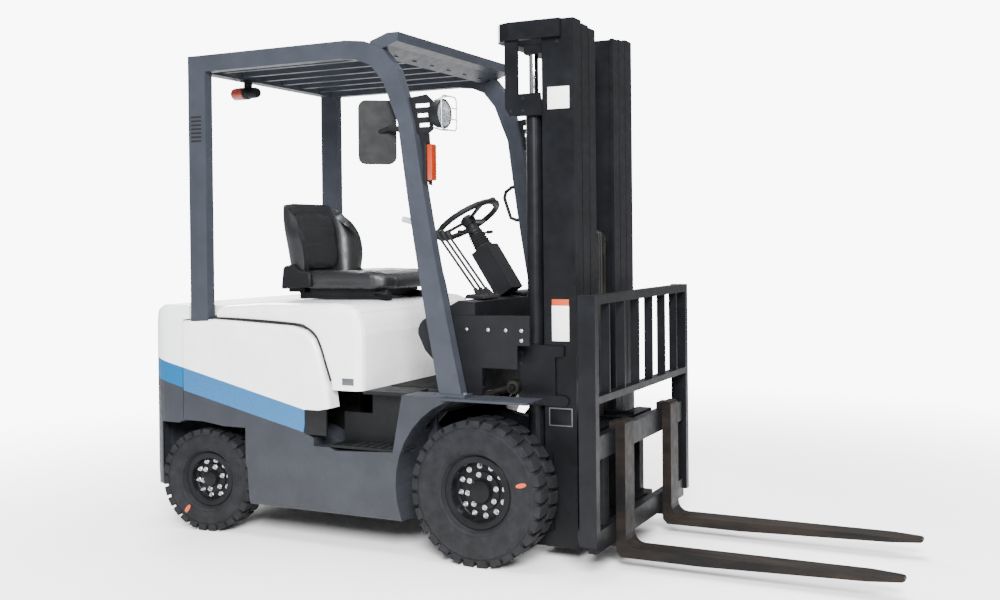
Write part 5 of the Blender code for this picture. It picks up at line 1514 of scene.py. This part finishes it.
@dataclass
class Mast(FromAxle):
    """What is fixed to the mast: labels, chains, hoses, glands and bolts."""

    face: float = 0.323
    chain_x: tuple[float, float] = (0.244, 0.324)
    wheel: tuple[float, float] = (0.284, 1.290)

    def label(self, name: str, low: tuple[float, float], high: tuple[float, float],
            surface: Finish, depth: float = 0.5 * MM) -> None:
        """A blank label on the right rail's outer face.

        Args:
            name: The label's name.
            low: Its lowest x and z.
            high: Its highest x and z.
            surface: Its finish.
            depth: How far it stands off the rail.
        """
        plate = Bench.block(name, (low[0], -self.face - depth, low[1]),
            (high[0], -self.face + 0.0002, high[1]), 0.15 * MM)
        self.put(plate, surface, "mast_outer")

    def build_labels(self) -> None:
        """White, orange topped and framed grey plates, all blank."""
        self.label("upper_white_label", (0.235, 1.817), (0.330, 1.905), LABEL_WHITE)
        self.label("lower_white_label", (0.245, 0.885), (0.320, 1.027), LABEL_WHITE)
        self.label("orange_label", (0.245, 1.027), (0.320, 1.053), LABEL_ORANGE)
        self.label("plate_frame", (0.228, 0.543), (0.332, 0.617), LABEL_GREY)
        self.label("plate_face", (0.233, 0.548), (0.327, 0.612), BLACK, 0.8 * MM)

    def chain(self, name: str, y: float, low: float) -> bpy.types.Object:
        """One leaf chain over its wheel: link plates on pins.

        Args:
            name: The chain's name.
            y: Where it lies across the mast.
            low: Height of its lower end in front.

        Returns:
            The chain.
        """
        x0, x1 = self.chain_x
        radius = (x1 - x0) * 0.5
        pitch = 12.7 * MM
        front = [Vector((x1, y, low + pitch * step))
            for step in range(int((self.wheel[1] - low) / pitch))]
        arc = []
        count = max(int(math.pi * radius / pitch), 1)
        for step in range(count + 1):
            angle = math.pi * step / count
            arc.append(Vector((self.wheel[0] + radius * math.cos(angle), y,
                self.wheel[1] + radius * math.sin(angle))))
        back = [Vector((x0, y, self.wheel[1] - pitch * step)) for step in range(1, 12)]
        line = front + arc + back
        links = []
        for index, (a, b) in enumerate(zip(line, line[1:])):
            middle, along = (a + b) * 0.5, (b - a)
            wide = (-0.009, -0.003, 0.003, 0.009) if index % 2 else (-0.006, 0.0, 0.006)
            for shift in wide:
                link = Bench.plate("link", [(-0.5 * along.length - 0.0042, -0.0040),
                    (0.5 * along.length + 0.0042, -0.0040), (0.5 * along.length + 0.0052, 0.0),
                    (0.5 * along.length + 0.0042, 0.0040), (-0.5 * along.length - 0.0042, 0.0040),
                    (-0.5 * along.length - 0.0052, 0.0)], Axis.Y, shift - 0.00135,
                    shift + 0.00135, 0.0)
                turn = -math.atan2(along.z, along.x)
                link.data.transform(Matrix.Translation(middle) @ Matrix.Rotation(turn, 4, "Y"))
                links.append(link)
        return Bench.joined(name, links)

    def build_chains(self) -> None:
        """Two leaf chains and a pair of hoses over the crosshead's wheels."""
        for side in Side:
            chain = self.chain(f"{side.word}_lift_chain", side.value * 0.0425, 0.560)
            self.put(chain, CHAIN, "free_lift")
        x0, x1 = self.chain_x
        for side in Side:
            y = side.value * 0.012
            run = [(x1 - 0.002, y, 0.545), (x1 - 0.002, y, 0.90), (x1 - 0.002, y, 1.270),
                (x1 - 0.010, y, 1.318), (self.wheel[0], y, 1.3245), (x0 + 0.010, y, 1.318),
                (x0 + 0.003, y, 1.270), (x0 + 0.003, y, 1.245)]
            hose = Bench.tube(f"{side.word}_mast_hose", run, 6.0 * MM, sides=3)
            self.put(hose, HOSE, "free_lift")

    def build_cylinder_details(self) -> None:
        """Glands on the lift cylinders, a hose down each one and the clamp's bolts."""
        for side in Side:
            y = side.value * 0.283
            gland = Bench.turned("gland", [(0.0203, 1.838), (0.036, 1.838), (0.036, 1.846),
                (0.033, 1.850), (0.033, 1.866), (0.030, 1.870), (0.0203, 1.870)], 40, ring=True)
            gland.matrix_world = Matrix.Translation((0.155, y, 0.0))
            self.put(gland, ZINC, "mast_outer")
            wiper = Bench.turned("wiper", [(0.0200, 1.869), (0.026, 1.869), (0.024, 1.875),
                (0.0200, 1.876)], 36, ring=True)
            wiper.matrix_world = Matrix.Translation((0.155, y, 0.0))
            self.put(wiper, SEAL, "mast_outer")
            inward = side.value * 0.232
            hose = Bench.tube(f"{side.word}_lift_hose", [(0.150, side.value * 0.250, 0.200),
                (0.135, inward, 0.215), (0.128, inward, 0.300), (0.128, inward, 0.420)], 7.0 * MM,
                sides=3)
            self.put(hose, HOSE, "mast_outer")
            bolts = [(0.130, side.value * 0.3333, 1.815), (0.130, side.value * 0.3333, 1.865),
                (0.075, side.value * 0.3333, 1.815)]
            self.put(self.bolts("clamp_bolts", bolts, (0.0, side.value, 0.0), 6.5 * MM, 5.0 * MM),
                SHEET_BLACK, "mast_outer")
            shown = [(0.280, side.value * 0.3233, 2.085), (0.110, side.value * 0.3352, 0.835),
                (0.110, side.value * 0.3352, 0.790)]
            self.put(self.bolts("rail_bolts", shown, (0.0, side.value, 0.0), 8.0 * MM, 6.0 * MM),
                SHEET_BLACK, "mast_outer")

    def build_carriage_details(self) -> None:
        """The side shift cylinder and the forks' latch pins."""
        ram = [Bench.rod("ram", (0.417, -0.150, 0.500), (0.417, 0.150, 0.500), 15.0 * MM, 28,
            2.0 * MM)]
        self.put(Bench.joined("side_shift_barrel", ram), BLACK, "carriage")
        for side in Side:
            pin = [Bench.rod("latch", (0.540, side.value * 0.275, 0.540),
                (0.540, side.value * 0.275, 0.566), 8.0 * MM, 20, 2.0 * MM),
                Bench.rod("latch_tee", (0.540, side.value * 0.255, 0.570),
                (0.540, side.value * 0.295, 0.570), 5.0 * MM, 16, 2.0 * MM)]
            self.put(Bench.joined("fork_latch", pin), ZINC, f"{side.word}_fork")

    def build(self) -> None:
        """Dress the whole mast."""
        self.build_labels()
        self.build_chains()
        self.build_cylinder_details()
        self.build_carriage_details()


@dataclass
class BodyTrim(FromAxle):
    """Small things on the body: seams, painted shade of the louvres, bolts, treads, grille and the
    mirror's glass.
    """

    pillar: float = 0.512

    def build_louvre(self) -> None:
        """Thin dark strips on both rear pillars: painted shade for the louvre's slots."""
        slots = []
        for side in Side:
            for step in range(7):
                z = 1.748 + step * 0.018
                y0, y1 = sorted((side.value * self.pillar, side.value * (self.pillar + 0.0012)))
                # Painted shade: each dark strip stands for the shade inside one louvre slot.
                slots.append(Bench.block("slot", (-1.455, y0 - 0.0002, z),
                    (-1.395, y1, z + 0.008), 0.3 * MM))
        self.put(Bench.joined("pillar_louvres", slots), SEAL)

    def build_bolts(self) -> None:
        """Bolts of the guard's feet and along the cowl's sides."""
        feet, cowl = [], []
        for side in Side:
            for x in (-0.172, -0.066):
                feet.append((x, side.value * 0.489, 0.676))
        self.put(self.bolts("guard_foot_bolts", feet, (0.0, 0.0, 1.0), 8.0 * MM, 6.0 * MM), ZINC)
        for side in Side:
            for x, z in ((-0.25, 0.93), (-0.19, 0.93), (-0.10, 0.93), (0.0, 0.93), (0.08, 0.93),
                    (0.15, 0.93), (0.15, 0.89)):
                cowl.append(Bench.facing((x, side.value * 0.410, z), (0.0, side.value, 0.0)))
        self.put(Bench.repeated("cowl_bolts", Bench.bolt(6.0 * MM, 4.0 * MM), cowl), ZINC)

    def build_treads(self) -> None:
        """Raised ribs on both steps."""
        ribs = []
        for side in Side:
            y0, y1 = sorted((side.value * 0.420, side.value * 0.508))
            for step in range(9):
                x = -0.600 + step * 0.041
                ribs.append(Bench.block("rib", (x, y0, 0.4335), (x + 0.014, y1, 0.4375), 1.2 * MM))
        self.put(Bench.joined("step_treads", ribs), SEAL)

    def build_seams(self) -> None:
        """Rubber seam round each side panel's upper edge and the hood's foot."""
        for side in Side:
            y = side.value * 0.4965
            line = [(-1.505, y, 0.9545), (-1.250, y, 0.9560), (-0.908, y, 0.9410),
                (-0.836, y, 0.9240), (-0.790, y, 0.8910), (-0.762, y, 0.8370),
                (-0.738, y, 0.7680), (-0.714, y, 0.7010)]
            seam = Bench.tube(f"{side.word}_hood_seam", line, 4.5 * MM, sides=3)
            self.put(seam, SEAL)
        corners = []
        for side in Side:
            y0, y1 = sorted((side.value * 0.430, side.value * 0.4425))
            corners.append(Bench.block("corner", (-0.836, y0 + side.value * 0.080, 0.470),
                (-0.722, y1 + side.value * 0.080, 0.577), 3.0 * MM))
        self.put(Bench.joined("panel_corner_blocks", corners), PLASTIC)
        plate = Bench.block("hood_plate", (-0.660, -0.4926, 0.685), (-0.600, -0.4916, 0.715),
            0.3 * MM)
        self.put(plate, LABEL_GREY, "hood_body")

    def build_rear(self) -> None:
        """Grille slats in the counterweight's recess."""
        ahead = centre_of("front_right_tyre").x
        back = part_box("counterweight")[0].x - ahead
        slats = []
        for step in range(9):
            z = 0.578 + step * 0.020
            slat = Bench.block("slat", (0.0, -0.186, -0.005), (0.003, 0.186, 0.009), 1.0 * MM)
            slat.matrix_world = (Matrix.Translation((back + 0.034, 0.0, z))
                @ Matrix.Rotation(math.radians(28.0), 4, "Y"))
            slats.append(Bench.settle(slat))
        self.put(Bench.joined("rear_grille", slats), SHEET_BLACK)

    def build_mirror(self) -> None:
        """The mirror's glass in its shell."""
        glass = Bench.block("mirror_glass", (-0.0150, -0.068, -0.122), (-0.0125, 0.068, 0.122),
            0.6 * MM)
        glass.matrix_world = (Matrix.Translation((-0.470, -0.488, 1.745))
            @ Matrix.Rotation(math.radians(-52.0), 4, "Z"))
        self.put(glass, MIRROR)

    def build(self) -> None:
        """Make all of the trim."""
        self.build_louvre()
        self.build_bolts()
        self.build_treads()
        self.build_seams()
        self.build_rear()
        self.build_mirror()


# ------------------------------------------------------------------------------ studio
@dataclass
class Studio:
    """Pale floor, soft lights and the camera."""

    place: Point = (2.1869, -4.3043, 1.2897)
    yaw: float = 24.8585
    pitch: float = -0.523
    roll: float = -0.5695
    lens: float = 39.36
    shift: tuple[float, float] = (-0.05523, -0.0497)
    floor_size: float = 60.0
    sky: float = 0.55             # the sky as the truck sees it
    backdrop: float = 9.0         # the sky as the camera sees it
    fade: tuple[float, float] = (1.6, 5.5)   # where the floor blends into the backdrop

    def build_floor(self) -> None:
        """A plain pale floor just under the tyres."""
        bpy.ops.object.select_all(action="DESELECT")
        bpy.ops.mesh.primitive_plane_add(size=self.floor_size, location=(0.0, 0.0, -0.0005))
        floor = bpy.context.active_object
        floor.name = "studio_floor"
        surface = bpy.data.materials.new("studio_floor")
        surface.use_nodes = True
        tree = surface.node_tree
        shader = tree.nodes["Principled BSDF"]
        shader.inputs["Base Color"].default_value = (0.86, 0.86, 0.86, 1.0)
        shader.inputs["Roughness"].default_value = 0.75
        shader.inputs["Specular IOR Level"].default_value = 0.15
        where = add_node(tree, "ShaderNodeTexCoord").outputs["Object"]
        far = add_node(tree, "ShaderNodeVectorMath", {"operation": "LENGTH"},
            {0: where}).outputs["Value"]
        fade = add_node(tree, "ShaderNodeMapRange", {"interpolation_type": "SMOOTHSTEP",
            "From Min": self.fade[0], "From Max": self.fade[1]}, {"Value": far})
        seen = add_node(tree, "ShaderNodeLightPath").outputs["Is Camera Ray"]
        share = add_node(tree, "ShaderNodeMath", {"operation": "MULTIPLY"},
            {0: fade.outputs["Result"], 1: seen})
        sky = add_node(tree, "ShaderNodeEmission", {"Strength": self.backdrop})
        mixed = add_node(tree, "ShaderNodeMixShader",
            links={0: share.outputs[0], 1: shader.outputs[0], 2: sky.outputs[0]})
        tree.links.new(mixed.outputs[0], tree.nodes["Material Output"].inputs["Surface"])
        floor.data.materials.append(surface)
        floor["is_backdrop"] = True

    def lamp(self, name: str, place: Point, target: Point, size: float, power: float) -> None:
        """One soft area light.

        Args:
            name: Its name.
            place: Where it hangs.
            target: What it points at.
            size: Its width and height.
            power: Its power in watts.
        """
        data = bpy.data.lights.new(name, "AREA")
        data.shape = "SQUARE"
        data.size = size
        data.energy = power
        light = bpy.data.objects.new(name, data)
        bpy.context.collection.objects.link(light)
        away = Vector(place) - Vector(target)
        light.matrix_world = Matrix.Translation(place) @ away.to_track_quat("Z",
            "Y").to_matrix().to_4x4()

    def build_lights(self) -> None:
        """A bright even sky with soft lights above, at the right and in front."""
        world = bpy.data.worlds.new("studio")
        bpy.context.scene.world = world
        world.use_nodes = True
        tree = world.node_tree
        shade = tree.nodes["Background"]
        shade.inputs["Color"].default_value = (0.97, 0.98, 1.0, 1.0)
        seen = add_node(tree, "ShaderNodeLightPath").outputs["Is Camera Ray"]
        strength = add_node(tree, "ShaderNodeMapRange",
            {"To Min": self.sky, "To Max": self.backdrop}, {"Value": seen})
        tree.links.new(strength.outputs["Result"], shade.inputs["Strength"])
        self.lamp("key", (3.2, -6.2, 4.6), (-0.2, 0.0, 0.7), 3.0, 2300.0)
        self.lamp("overhead", (-0.2, 0.4, 7.0), (0.0, 0.0, 0.0), 6.0, 1500.0)
        self.lamp("rear_fill", (-5.5, 4.0, 4.0), (-0.5, 0.0, 0.8), 3.0, 700.0)

    def build_camera(self) -> None:
        """The camera, with a slight roll and a shifted view."""
        yaw, pitch, roll = (math.radians(angle) for angle in (self.yaw, self.pitch, self.roll))
        forward = Vector((-math.sin(yaw) * math.cos(pitch), math.cos(yaw) * math.cos(pitch),
            math.sin(pitch)))
        level = Vector((math.cos(yaw), math.sin(yaw), 0.0))
        above = level.cross(forward)
        right = level * math.cos(roll) + above * math.sin(roll)
        up = above * math.cos(roll) - level * math.sin(roll)
        data = bpy.data.cameras.new("camera")
        data.sensor_width = 36.0
        data.lens = self.lens
        data.shift_x, data.shift_y = self.shift
        camera = bpy.data.objects.new("camera", data)
        bpy.context.collection.objects.link(camera)
        camera.matrix_world = Matrix.Translation(self.place) @ Matrix((right, up,
            -forward)).transposed().to_4x4()
        bpy.context.scene.camera = camera

    def build(self) -> None:
        """Set up the studio."""
        self.build_floor()
        self.build_lights()
        self.build_camera()


# ------------------------------------------------------------------------------ main
def corners() -> list[list[float]]:
    """The shown object's lowest and highest corners as plain lists."""
    return [[round(float(value), 5) for value in corner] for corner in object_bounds()]


def truck() -> list:
    """Every sub-assembly, in the order in which it is made."""
    front = dict(radius=0.291, width=0.165, rim_radius=0.127, lugs=29, mark_angle=-76.0, nuts=12,
        nut_circle=0.100, studs=8, stud_circle=0.066)
    rear = dict(radius=0.229, width=0.135, rim_radius=0.101, lugs=27, mark_angle=143.0, nuts=10,
        nut_circle=0.080, studs=6, stud_circle=0.052, turn=REAR_STEER)
    wheels = []
    for side in Side:
        wheels.append(Wheel(f"front_{side.word}", side, **front))
        wheels.append(Wheel(f"rear_{side.word}", side, **rear))
    lamps = [Headlamp(side) for side in Side]
    return wheels + [DriverSeat(), Steering(), ControlLevers(), Dashboard(), *lamps, Beacon(),
        Mast(), BodyTrim(), Studio()]


def main() -> None:
    """Load the frame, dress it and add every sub-assembly."""
    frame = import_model()
    dress_frame(frame)
    for part in truck():
        log.info("building %s", part)
        part.build()


if __name__ == "__main__":
    logging.basicConfig(level=logging.INFO, format="%(message)s")
    main()
